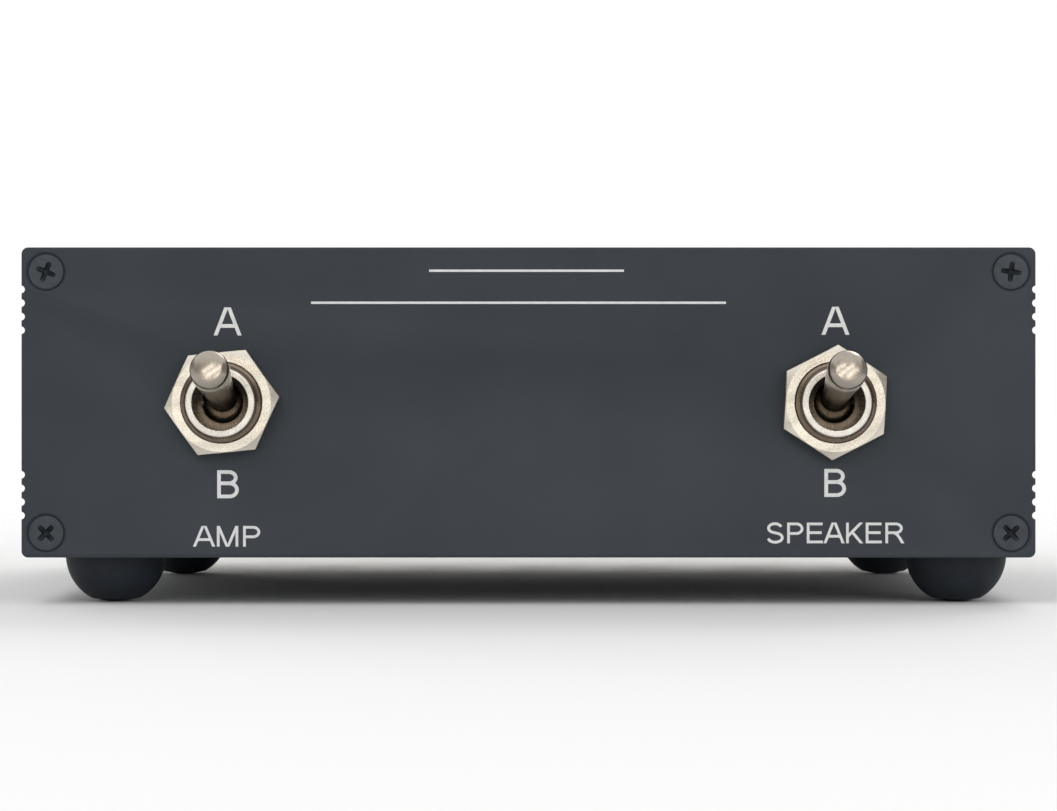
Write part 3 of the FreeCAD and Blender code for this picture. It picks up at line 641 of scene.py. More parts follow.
def new_object(name: str, data: bpy.types.ID) -> Object:
    """Put data in the scene as an object.

    Args:
        name: the object's name.
        data: its mesh, lamp or camera.

    Returns:
        The object.
    """
    obj = bpy.data.objects.new(name, data)
    bpy.context.scene.collection.objects.link(obj)
    return obj


def evaluated_mesh(obj: Object, name: str, crease: float = 0.0) -> Mesh:
    """An object's mesh as its modifiers leave it.

    Args:
        obj: the object, which is removed.
        name: the new mesh's name.
        crease: the angle in degrees from which an edge is sharp, or 0 to leave all as it is.

    Returns:
        The mesh.
    """
    graph = bpy.context.evaluated_depsgraph_get()
    graph.update()
    mesh = bpy.data.meshes.new_from_object(obj.evaluated_get(graph), depsgraph=graph)
    mesh.name = name
    bpy.data.objects.remove(obj, do_unlink=True)
    if crease:
        crease_edges(mesh, crease)
        stamp_local(mesh)
    return mesh


def cut(base: Mesh, tool: Mesh, name: str) -> Mesh:
    """Cut a solid out of another.

    Args:
        base: the solid, in its own axes.
        tool: the closed mesh to take away.
        name: the result's name.

    Returns:
        The cut mesh.
    """
    body, cutter = new_object(f"{name}_blank", base), new_object(f"{name}_tool", tool)
    step = body.modifiers.new("cut", "BOOLEAN")
    step.operation = "DIFFERENCE"
    step.solver = "EXACT"
    step.object = cutter
    mesh = evaluated_mesh(body, name, SMOOTH)
    bpy.data.objects.remove(cutter, do_unlink=True)
    return mesh


def bevel_edges(obj: Object, width: float, segments: int, limit: float) -> None:
    """Round an object's sharp edges with a modifier.

    Args:
        obj: the object.
        width: the bevels' width.
        segments: how many faces a bevel has.
        limit: the angle in degrees from which an edge is rounded.
    """
    step = obj.modifiers.new("edges", "BEVEL")
    step.width = width * MM
    step.segments = segments
    step.limit_method = "ANGLE"
    step.angle_limit = math.radians(limit)


def bevelled(mesh: Mesh, width: float, name: str) -> Mesh:
    """Round a mesh's sharp edges.

    Args:
        mesh: the mesh.
        width: the bevels' width.
        name: the result's name.

    Returns:
        The bevelled mesh.
    """
    obj = new_object(f"{name}_blank", mesh)
    bevel_edges(obj, width, 2, 30.0)
    return evaluated_mesh(obj, name, CRISP)


@dataclass(frozen=True)
class Station:
    """A corner of a turned piece's section: its distance from the axis and along it."""

    radius: float
    along: float
    fillet: float = 0.0
    facets: float = 0.0

    def towards(self, other: "Station", share: float) -> "Station":
        """A station part of the way to another, without a fillet.

        Args:
            other: the other station.
            share: 0 for this one and 1 for the other.

        Returns:
            The station between them.
        """
        pairs = (self.radius, other.radius), (self.along, other.along), (self.facets, other.facets)
        radius, along, facets = (a + (b - a) * share for a, b in pairs)
        return Station(radius, along, 0.0, facets)

    def distance(self, other: "Station") -> float:
        """How far another station is."""
        return math.hypot(self.radius - other.radius, self.along - other.along)


@dataclass(frozen=True)
class Turning:
    """A turned solid about Y: a row for each station, and how finely it is divided.

    A fillet takes its reach times its size of both sides, and at most a share of them. The
    round part of it begins at an ease of that, so that its ends shade smoothly.
    """

    rows: Rows
    segments: int
    closed: bool = False
    fillet_reach: float = 1.25
    fillet_share: float = 0.42
    fillet_ease: float = 0.8
    steps: int = 4
    sides: int = 8
    ridge: float = 0.0
    ridge_reach: float = 2.6
    hollow: float = 0.0

    def outline(self) -> list[Station]:
        """The section with its fillets drawn as short chords.

        Returns:
            The stations, in the order of the rows.
        """
        corners = [Station(*row) for row in self.rows]
        result: list[Station] = []
        for i, corner in enumerate(corners):
            open_end = not self.closed and i in (0, len(corners) - 1)
            if corner.fillet <= 0 or open_end:
                result.append(corner)
                continue
            size = self.fillet_reach * corner.fillet
            pairs = [
                (other, min(self.fillet_share, size / corner.distance(other)))
                for other in (corners[i - 1], corners[(i + 1) % len(corners)])
            ]
            first, last = [corner.towards(*pair) for pair in pairs]
            start, end = [corner.towards(other, self.fillet_ease * s) for other, s in pairs]
            result.append(first)
            for k in range(self.steps + 1):
                t = k / self.steps
                result.append(start.towards(corner, t).towards(corner.towards(end, t), t))
            result.append(last)
        return result

    def scale(self, turn: float, facets: float) -> float:
        """How far out a faceted section stands at an angle.

        Args:
            turn: the angle in radians.
            facets: 0 for round and 1 for faceted.

        Returns:
            A factor for the radius across the corners.
        """
        if facets == 0:
            return 1.0
        half = math.pi / self.sides
        off = off_corner(turn, half)
        flat = math.cos(half) / math.cos(half - off)
        dip = self.hollow * math.sin(math.pi * off / half) ** 2
        rise = self.ridge * max(0.0, 1.0 - off / math.radians(self.ridge_reach))
        return 1.0 + facets * (flat - dip + rise - 1.0)

    def mesh(self, name: str) -> Mesh:
        """Turn the section into a mesh.

        Args:
            name: the mesh's name.

        Returns:
            The mesh, in metres, with its axis along Y.
        """
        work = bmesh.new()
        turns = full_turn(self.segments)
        rings = [
            [
                work.verts.new(around(at.radius * self.scale(turn, at.facets), at.along, turn))
                for turn in (turns if at.radius > TINY else turns[:1])
            ]
            for at in self.outline()
        ]
        bridge(work, rings, self.closed)
        return finished_mesh(work, name)


def pin(radius: float, start: float, end: float, segments: int = 24) -> Mesh:
    """A plain round pin along Y, to cut holes with."""
    rows = ((0.0, start), (radius, start), (radius, end), (0.0, end))
    return Turning(rows, segments).mesh("pin")


# Geometry node trees ----------------------------------------------------------------------


class GeometryGraph(NodeGraph):
    """A geometry node tree that is run once on a host object and leaves a plain mesh."""

    def __init__(self, name: str, **kinds: str) -> None:
        """Start a tree.

        Args:
            name: the tree's name.
            kinds: its named inputs, each with its socket type. A material comes with them.
        """
        super().__init__(bpy.data.node_groups.new(name, "GeometryNodeTree"))
        face = self.tree.interface
        for way in ("INPUT", "OUTPUT"):
            face.new_socket("Geometry", in_out=way, socket_type="NodeSocketGeometry")
        self.sockets = {
            key: face.new_socket(key, in_out="INPUT", socket_type=f"NodeSocket{kind}").identifier
            for key, kind in (*kinds.items(), ("material", "Material"))
        }
        self.given = self.add("NodeGroupInput").outputs

    def spread(self, low: object, high: object) -> Socket:
        """A random number for each copy, between two ends."""
        links = {2: low, 3: high, "Seed": self.given["seed"]}
        return self.add("FunctionNodeRandomValue", links, data_type="FLOAT").outputs[1]

    def lay(self, geometry: Socket) -> Socket:
        """Turn what stands along Z to lie along Y, from the input named start on.

        Args:
            geometry: what the tree has built.

        Returns:
            The same, laid down.
        """
        shift, down = self.vector(0.0, self.given["start"]), (-math.pi / 2, 0.0, 0.0)
        links = {"Geometry": geometry, "Translation": shift, "Rotation": down}
        return self.add("GeometryNodeTransform", links).outputs[0]

    def close(self, geometry: Socket) -> None:
        """End the tree: make the instances real and give them the material.

        Args:
            geometry: what the tree has built.
        """
        real = self.add("GeometryNodeRealizeInstances", {"Geometry": geometry}).outputs[0]
        links = {"Geometry": real, "Material": self.given["material"]}
        paint = self.add("GeometryNodeSetMaterial", links)
        self.add("NodeGroupOutput", {"Geometry": paint.outputs[0]})

    def run(self, name: str, host: Mesh | None = None, **values: object) -> Mesh:
        """Run the tree and keep its result as a plain mesh.

        Args:
            name: the result's name.
            host: the mesh it starts from, if it needs one.
            values: a value for each named input.

        Returns:
            The mesh.
        """
        obj = new_object(f"{name}_host", host or bpy.data.meshes.new(f"{name}_host"))
        step = obj.modifiers.new(self.tree.name, "NODES")
        step.node_group = self.tree
        for key, value in values.items():
            step[self.sockets[key]] = value
        obj.update_tag()
        return evaluated_mesh(obj, name)


class ToothRing(GeometryGraph):
    """Teeth with a diamond section, evenly round the Y axis and lying along it."""

    def __init__(self) -> None:
        """Build the tree."""
        sizes = dict.fromkeys(("radius", "size", "length", "start", "jitter"), "Float")
        super().__init__("tooth_ring", count="Int", seed="Int", **sizes)
        given = self.given
        links = {"Vertices": given["count"], "Radius": given["radius"]}
        circle = self.add("GeometryNodeMeshCircle", links)
        links = {"Vertices": 4, "Radius": given["size"], "Depth": given["length"]}
        tooth = self.add("GeometryNodeMeshCylinder", links, fill_type="NGON")
        place = self.add("GeometryNodeInputPosition").outputs[0]
        align = self.add("FunctionNodeAlignRotationToVector", {"Vector": place}, axis="X")
        links = {
            "Points": circle.outputs[0],
            "Instance": tooth.outputs["Mesh"],
            "Rotation": align.outputs[0],
            "Scale": self.spread(self.math("SUBTRACT", 1.0, given["jitter"]), 1.0),
        }
        self.close(self.lay(self.add("GeometryNodeInstanceOnPoints", links).outputs[0]))


class Thread(GeometryGraph):
    """A screw thread's ridge, wound round the Y axis."""

    def __init__(self) -> None:
        """Build the tree."""
        sizes = dict.fromkeys(("radius", "turns", "length", "depth", "start"), "Float")
        super().__init__("thread", divisions="Int", **sizes)
        given = self.given
        links = {
            "Resolution": given["divisions"],
            "Rotations": given["turns"],
            "Start Radius": given["radius"],
            "End Radius": given["radius"],
            "Height": given["length"],
        }
        spiral = self.add("GeometryNodeCurveSpiral", links).outputs[0]
        upright = self.add("GeometryNodeSetCurveNormal", {"Curve": spiral}, mode="Z_UP")
        links = {"Resolution": 4, "Radius": given["depth"]}
        profile = self.add("GeometryNodeCurvePrimitiveCircle", links).outputs["Curve"]
        links = {"Curve": upright.outputs[0], "Profile Curve": profile, "Fill Caps": True}
        self.close(self.lay(self.add("GeometryNodeCurveToMesh", links).outputs[0]))

    def wind(
        self,
        radius: float,
        span: tuple[float, float],
        pitch: float,
        depth: float,
        divisions: int,
        look: Look,
    ) -> Mesh:
        """Wind a thread.

        Args:
            radius: the radius at its root.
            span: where it starts and ends along Y.
            pitch: how far apart its turns are.
            depth: how far it stands out.
            divisions: how many chords a turn has.
            look: its finish.

        Returns:
            The ridge's mesh.
        """
        length = span[1] - span[0]
        sizes = {"radius": radius, "length": length, "depth": depth, "start": span[0]}
        return self.run(
            "thread",
            turns=length / pitch,
            divisions=divisions,
            material=look.material,
            **{key: size * MM for key, size in sizes.items()},
        )


class Marks(GeometryGraph):
    """A piece at each vertex of a host mesh, turned as the host's vertices say."""

    def __init__(self) -> None:
        """Build the tree."""
        super().__init__("pieces_on_marks", piece="Object", loose="Float", seed="Int")
        links = {"Object": self.given["piece"]}
        source = self.add("GeometryNodeObjectInfo", links, transform_space="ORIGINAL")
        kind = {"data_type": "FLOAT_VECTOR"}
        turn = self.add("GeometryNodeInputNamedAttribute", {"Name": "turn"}, **kind)
        loose = self.given["loose"]
        slack = self.spread(self.math("MULTIPLY", loose, -1.0), loose)
        links = {0: turn.outputs["Attribute"], 1: self.vector(0.0, slack)}
        both = self.add("ShaderNodeVectorMath", links, operation="ADD")
        links = {
            "Points": self.given["Geometry"],
            "Instance": source.outputs["Geometry"],
            "Rotation": both.outputs[0],
        }
        self.close(self.add("GeometryNodeInstanceOnPoints", links).outputs[0])

    def put(
        self,
        name: str,
        piece: Mesh,
        places: list[Vector],
        look: Look,
        turns: list[Vector] | None = None,
        loose: float = 0.0,
        seed: int = 1,
    ) -> Mesh:
        """Set a piece down at every mark.

        Args:
            name: the result's name.
            piece: the piece in its own axes, which is used up.
            places: each copy's place.
            look: the finish of all copies.
            turns: each copy's turn in radians, if it has one.
            loose: how far a copy may be turned at random about Y, in radians.
            seed: the seed of those turns.

        Returns:
            The mesh of all copies.
        """
        host = bpy.data.meshes.new(f"{name}_marks")
        host.from_pydata([place * MM for place in places], [], [])
        if turns:
            layer = host.attributes.new("turn", "FLOAT_VECTOR", "POINT")
            layer.data.foreach_set("vector", [c for turn in turns for c in turn])
        source = new_object(f"{name}_piece", piece)
        mesh = self.run(name, host, piece=source, loose=loose, seed=seed, material=look.material)
        bpy.data.objects.remove(source, do_unlink=True)
        return mesh


@dataclass
class Workshop:
    """What all sub-assemblies share: the node trees and the way a piece joins the object."""

    teeth: ToothRing = field(default_factory=ToothRing)
    thread: Thread = field(default_factory=Thread)
    marks: Marks = field(default_factory=Marks)
    made: list[str] = field(default_factory=list)

    def mount(
        self,
        name: str,
        mesh: Mesh,
        look: Look,
        slot: str,
        node: str = "",
        body: str = "case",
        matrix: Matrix | None = None,
    ) -> None:
        """Make a mesh a piece of the object.

        Args:
            name: the piece's name.
            mesh: its mesh.
            look: its finish.
            slot: the record's material slot; not used.
            node: the CAD node it stands for, if there is one.
            body: the CAD body it moves with.
            matrix: where it goes, if its mesh is in its own axes.
        """
        if matrix is not None:
            mesh.transform(matrix)
        mesh.materials.clear()
        mesh.materials.append(look.material)
        mesh.name = name
        obj = new_object(name, mesh)
        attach(obj, body)
        if node:
            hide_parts(node)
        self.made.append(name)
        log.info("%s: %d faces on %s", name, len(mesh.polygons), body)

    def dress(self, node: Object, look: Look, slot: str, width: float) -> None:
        """Give a CAD node that stays in view a finish and softened edges.

        Args:
            node: the CAD node.
            look: its finish.
            slot: the record's material slot; not used.
            width: the width of its bevels.
        """
        node.data.materials.clear()
        node.data.materials.append(look.material)
        node.modifiers.new("weld", "WELD").merge_threshold = TINY
        bevel_edges(node, width, 1, 40.0)
        log.info("%s: CAD node with %s", node.name, look.value.name)


# Sub-assemblies ---------------------------------------------------------------------------

FRONT_FACE = -52.6
REAR_FACE = 47.4


@dataclass
class Case:
    """Panels, shells, screws and feet."""

    width: float = 152.0
    height: float = 46.5
    edge: float = 0.16
    screw_inset: float = 3.65
    head_radius: float = 2.87
    shank_radius: float = 1.45
    screw_length: float = 9.0
    front_turns: tuple[float, ...] = (45.0, 47.0, 22.0, 8.0)
    rear_turns: tuple[float, ...] = (12.0, 38.0, 71.0, 27.0)
    recess_arm: float = 1.55
    recess_half: float = 0.4
    recess_hub: float = 0.62
    recess_depth: float = 1.1
    recess_points: int = 64
    foot_height: float = 7.2
    foot_radius: float = 7.7
    foot_steps: int = 14
    foot_inset: float = 12.0
    # Each foot's side, how far in from it the foot stands, and the panel it is nearer to.
    foot_places: Rows = (
        (-1, 12.6, FRONT_FACE),
        (1, 10.3, FRONT_FACE),
        (-1, 14.5, REAR_FACE),
        (1, 12.6, REAR_FACE),
    )

    def build(self, shop: Workshop, nodes: dict[str, Object]) -> None:
        """Build every piece of the case.

        Args:
            shop: the shared workshop.
            nodes: the CAD nodes by name.
        """
        for name in ("front_panel", "rear_panel", "upper_shell", "lower_shell"):
            mesh = self.softened(nodes[name].data, f"{name}_body")
            shop.mount(f"{name}_body", mesh, Look.CASE, "case", name)
        for name, face, turn, angles in (
            ("front_panel_screws", FRONT_FACE, 0.0, self.front_turns),
            ("rear_panel_screws", REAR_FACE, math.pi, self.rear_turns),
        ):
            turns = [Vector((0.0, math.radians(angle), turn)) for angle in angles]
            places = self.screw_places(face)
            mesh = shop.marks.put(name, self.screw(), places, Look.SCREW, turns)
            shop.mount(f"{name}_set", mesh, Look.SCREW, "screws", name)
        places = [
            Vector((side * (self.width / 2 - inset), y - math.copysign(self.foot_inset, y), 0.0))
            for side, inset, y in self.foot_places
        ]
        feet = shop.marks.put("feet", self.foot(), places, Look.RUBBER)
        shop.mount("rubber_feet_set", feet, Look.RUBBER, "rubber", "rubber_feet")

    def softened(self, source: Mesh, name: str) -> Mesh:
        """Copy a CAD node's mesh with rounded edges.

        Args:
            source: the node's mesh.
            name: the copy's name.

        Returns:
            The copy.
        """
        work = bmesh.new()
        work.from_mesh(source)
        bmesh.ops.remove_doubles(work, verts=work.verts, dist=TINY)
        level = math.radians(0.3)
        bmesh.ops.dissolve_limit(work, angle_limit=level, verts=work.verts, edges=work.edges)
        return bevelled(finished_mesh(work, "blank"), self.edge, name)

    def screw_places(self, face: float) -> list[Vector]:
        """Where a panel's four screws go.

        Args:
            face: the panel's face along Y.

        Returns:
            The places.
        """
        across, up = self.width / 2 - self.screw_inset, self.height / 2 - self.screw_inset
        middle = self.foot_height + self.height / 2
        corners = ((-1, -1), (1, -1), (-1, 1), (1, 1))
        return [Vector((x * across, face, middle + z * up)) for x, z in corners]

    def screw(self) -> Mesh:
        """One countersunk screw with a cross recess, pointing along +Y.

        Returns:
            The mesh.
        """
        head, shank, end = self.head_radius, self.shank_radius, self.screw_length
        rows = (
            (0.0, 0.03),
            (head * 0.6, 0.03),
            (head - 0.3, 0.05, 0.12),
            (head, 0.42, 0.12),
            (shank, head - shank + 0.05, 0.1),
            (shank, end - 0.6),
            (0.5, end),
            (0.0, end),
        )
        return cut(Turning(rows, 48).mesh("screw_blank"), self.recess(), "screw")

    def recess(self) -> Mesh:
        """The cross recess as a solid to cut away: four wings that taper to a point.

        Returns:
            The mesh.
        """
        work = bmesh.new()
        rings = []
        for depth, share in ((-0.2, 1.0), (0.12, 1.0), (0.65, 0.66), (self.recess_depth, 0.3)):
            ring = []
            for turn in full_turn(self.recess_points):
                off = (turn + math.pi / 4) % (math.pi / 2) - math.pi / 4
                arm = self.recess_arm * share / math.cos(off)
                half = self.recess_half * (0.55 + 0.45 * share) / max(1e-3, abs(math.sin(off)))
                reach = max((arm**-5 + half**-5) ** -0.2, self.recess_hub * share)
                ring.append(work.verts.new(around(reach, depth, turn)))
            rings.append(ring)
        work.faces.new(rings[0])
        rings.append([work.verts.new(around(0.0, self.recess_depth + 0.3, 0.0))])
        bridge(work, rings)
        return finished_mesh(work, "recess")

    def foot(self) -> Mesh:
        """One rubber foot, a dome that stands on its pole.

        Returns:
            The mesh.
        """
        top, wide = self.foot_height, self.foot_radius
        levels = [top * i / self.foot_steps for i in range(1, self.foot_steps + 1)]
        dome = [(math.sqrt(max(0.0, wide**2 - (top - level) ** 2)), level) for level in levels]
        pole = (dome[0][0] * 0.4, dome[0][1] * 0.1)
        rows = ((0.0, 0.0), pole, *dome, (wide - 0.5, top - 0.02), (0.0, top - 0.02))
        mesh = Turning(rows, 72).mesh("foot")
        mesh.transform(Matrix.Rotation(math.pi / 2, 4, "X"))
        stamp_local(mesh)
        return mesh


class Side(Enum):
    """A panel that carries printing, by its face and its turn away from the case."""

    FRONT = (FRONT_FACE, 0.0)
    REAR = (REAR_FACE, math.pi)


def bow(x: float, y: float, wide: float, tall: float, start: float, end: float) -> Path:
    """Points along part of an ellipse.

    Args:
        x: the ellipse's middle.
        y: the ellipse's middle.
        wide: its half width.
        tall: its half height.
        start: the first angle in degrees.
        end: the last angle in degrees.

    Returns:
        The points.
    """
    chords = 14
    turns = [math.radians(start + (end - start) * i / chords) for i in range(chords + 1)]
    return tuple((x + wide * math.cos(t), y + tall * math.sin(t)) for t in turns)


STEM_X, TOP_Y, FOOT_Y = 0.17, 0.937, 0.063


def bowl(x: float, y: float, wide: float, tall: float) -> Path:
    """A round bowl on a stem, as in B, P and R, by its curve's middle, width and height."""
    top, foot = (STEM_X, y + tall), (STEM_X, y - tall)
    return (top, (x, y + tall), *bow(x, y, wide, tall, 90, -90), foot)


def bar(y: float, end: float) -> Path:
    """A straight stroke from the stem."""
    return ((STEM_X, y), (end, y))


STEM = ((STEM_X, 0.0), (STEM_X, 1.0))


@dataclass(frozen=True)
class Glyph:
    """A letter: the middle lines of its strokes on a capital height of 1, and its advance."""

    advance: float
    paths: tuple[Path, ...]
    square: bool = True


GLYPHS: dict[str, Glyph] = {
    " ": Glyph(0.38, ()),
    "A": Glyph(
        0.93,
        (
            ((-0.01, -0.12), (0.465, 1.12)),
            ((0.94, -0.12), (0.465, 1.12)),
            ((0.2, 0.34), (0.73, 0.34)),
        ),
    ),
    "B": Glyph(0.95, (STEM, bowl(0.52, 0.735, 0.245, 0.202), bowl(0.54, 0.298, 0.27, 0.235))),
    "E": Glyph(0.93, (STEM, bar(TOP_Y, 0.85), bar(0.515, 0.81), bar(FOOT_Y, 0.87))),
    "K": Glyph(0.93, (STEM, ((0.15, 0.3), (0.92, 1.1)), ((0.38, 0.56), (0.94, -0.12)))),
    "L": Glyph(0.78, (STEM, bar(FOOT_Y, 0.74))),
    "M": Glyph(
        1.16,
        (
            ((0.165, 0.0), (0.165, 1.0)),
            ((0.995, 0.0), (0.995, 1.0)),
            ((0.13, 1.1), (0.58, -0.04), (1.03, 1.1)),
        ),
    ),
    "P": Glyph(0.93, (STEM, bowl(0.55, 0.706, 0.262, 0.231))),
    "R": Glyph(
        1.0,
        (
            STEM,
            bowl(0.6, 0.724, 0.262, 0.213),
            ((0.5, 0.511), (0.66, 0.43), (0.78, 0.26), (1.0, -0.12)),
        ),
    ),
    "S": Glyph(
        0.93,
        ((*bow(0.46, 0.733, 0.305, 0.215, 18, 246), *bow(0.47, 0.273, 0.335, 0.222, 62, -168)),),
        square=False,
    ),
    "+": Glyph(0.82, (((0.08, 0.5), (0.74, 0.5)), ((0.41, 0.17), (0.41, 0.83)))),
    "-": Glyph(0.46, (((0.03, 0.36), (0.43, 0.36)),)),
}


@dataclass
class Legends:
    """Printing on both panels: what each control and each pair of posts is for."""

    ink: float = 0.02
    layer: float = 0.0015
    stroke: float = 0.132
    margin: float = 0.1
    first_x: float = -66.675
    pitch_x: float = 19.05
    sign_cap: float = 2.6
    first_shift: float = 1.2
    plus_z: float = 50.4
    minus_z: float = 10.7
    # A line's words, capital height, middle along X and Z, and width or 0 for its own.
    front_lines: tuple[tuple[str, float, float, float, float], ...] = (
        ("A", 4.2, -45.1, 42.6, 0.0),
        ("A", 4.2, 46.0, 42.7, 0.0),
        ("B", 4.2, -45.1, 18.2, 0.0),
        ("B", 4.2, 45.9, 18.4, 0.0),
        ("AMP", 3.1, -45.1, 10.4, 9.5),
        ("SPEAKER", 3.1, 45.9, 10.9, 20.2),
    )
    rear_lines: tuple[tuple[str, float, float, float, float], ...] = (
        ("SPEAKER B", 3.1, 57.7, 30.5, 24.3),
        ("SPEAKER A", 3.1, 19.6, 30.5, 23.6),
        ("AMP B", 3.1, -18.9, 30.5, 13.2),
        ("AMP A", 3.1, -56.5, 30.5, 12.8),
    )
    # A bar's middle along X and Z, its width and its height.
    front_rules: Rows = ((-0.3, 50.2, 29.2, 0.35), (-1.5, 45.4, 62.2, 0.35))
    dividers: tuple[float, ...] = (-38.1, 0.0, 38.1)
    divider_width: float = 0.26
    divider_span: tuple[float, float] = (7.4, 53.5)

    def build(self, shop: Workshop) -> None:
        """Build the printing.

        Args:
            shop: the shared workshop.
        """
        low, high = self.divider_span
        signs = []
        for number in range(8):
            x, letter = self.first_x + self.pitch_x * number, "LR"[number % 2]
            shift = self.first_shift if number == 0 else 0.0
            signs.append((f"{letter}+", self.sign_cap, x + shift, self.plus_z, 0.0))
            signs.append((f"{letter}-", self.sign_cap, x, self.minus_z, 0.0))
        rules = [(x, (high + low) / 2, self.divider_width, high - low) for x in self.dividers]
        for name, side, lines, bars in (
            ("front_printing", Side.FRONT, self.front_lines, self.front_rules),
            ("rear_printing", Side.REAR, (*self.rear_lines, *signs), rules),
        ):
            parts = [self.text(side, *line) for line in lines]
            parts += [self.rule(side, *size) for size in bars]
            shop.mount(name, joined(name, parts), Look.INK, "case")

    def stand(self, mesh: Mesh, x: float, z: float, side: Side) -> Mesh:
        """Lay flat printing on a panel's face.

        Args:
            mesh: the printing in the XY plane, in metres.
            x: where its middle goes.
            z: where its middle goes.
            side: the panel.

        Returns:
            The same mesh.
        """
        face, away = side.value
        turn = Matrix.Rotation(away, 4, "Z") @ Matrix.Rotation(math.pi / 2, 4, "X")
        mesh.transform(Matrix.Translation(Vector((x, face, z)) * MM) @ turn)
        return mesh

    def rule(self, side: Side, x: float, z: float, width: float, height: float) -> Mesh:
        """A plain printed bar.

        Args:
            side: the panel.
            x: its middle.
            z: its middle.
            width: its size along X.
            height: its size along Z.

        Returns:
            The mesh.
        """
        work = bmesh.new()
        half = Vector((width, height, 0.0)) / 2
        box_into(work, -half, half + Vector((0.0, 0.0, self.ink)))
        return self.stand(finished_mesh(work, "rule"), x, z, side)

    def ribbon(self, work: Work, points: list[Vector], half: float, top: float) -> None:
        """Draw a stroke as a thin raised band with mitred corners.

        Args:
            work: the working mesh.
            points: the stroke's middle line.
            half: half of its width.
            top: how thick the ink is.
        """
        rails = []
        for before, point, after in zip(points[:1] + points, points, points[1:] + points[-1:]):
            legs = [b - a for a, b in ((before, point), (point, after)) if (b - a).length > TINY]
            normals = [Vector((-leg.y, leg.x)).normalized() for leg in legs]
            mitre = sum(normals, Vector((0.0, 0.0))).normalized()
            reach = mitre * (half / max(0.4, mitre.dot(normals[0])))
            left, right = point + reach, point - reach
            ends = ((left, 0.0), (right, 0.0), (right, top), (left, top))
            rails.append([work.verts.new(Vector((at.x, at.y, z)) * MM) for at, z in ends])
        work.faces.new(rails[0])
        work.faces.new(rails[-1][::-1])
        bridge(work, rails)

    def text(
        self, side: Side, words: str, cap: float, x: float, z: float, width: float
    ) -> Mesh:
        """A line of lettering.

        Args:
            side: the panel.
            words: what it says.
            cap: the height of its capitals.
            x: its middle.
            z: its middle.
            width: how wide it is, or 0 for the letters' own width.

        Returns:
            The mesh.
        """
        length = sum(GLYPHS[letter].advance for letter in words) - 2 * self.margin
        across = width / length if width else cap
        parts = []
        pen = -length / 2 - self.margin
        for letter in words:
            glyph = GLYPHS[letter]
            work = bmesh.new()
            for number, path in enumerate(glyph.paths):
                points = [Vector(((a + pen) * across, b * cap)) for a, b in path]
                self.ribbon(work, points, self.stroke * cap / 2, self.ink + self.layer * number)
            for level, way in ((0.0, -1.0), (cap * MM, 1.0)) if glyph.square else ():
                cutting = bmesh.ops.bisect_plane(
                    work,
                    geom=work.verts[:] + work.edges[:] + work.faces[:],
                    plane_co=(0.0, level, 0.0),
                    plane_no=(0.0, way, 0.0),
                    clear_outer=True,
                )
                rims = [e for e in cutting["geom_cut"] if isinstance(e, bmesh.types.BMEdge)]
                bmesh.ops.holes_fill(work, edges=rims, sides=0)
            parts.append(finished_mesh(work, "letter"))
            pen += glyph.advance
        mesh = joined("lettering", parts)
        mesh.transform(Matrix.Translation(Vector((0.0, -cap / 2, 0.0)) * MM))
        return self.stand(mesh, x, z, side)


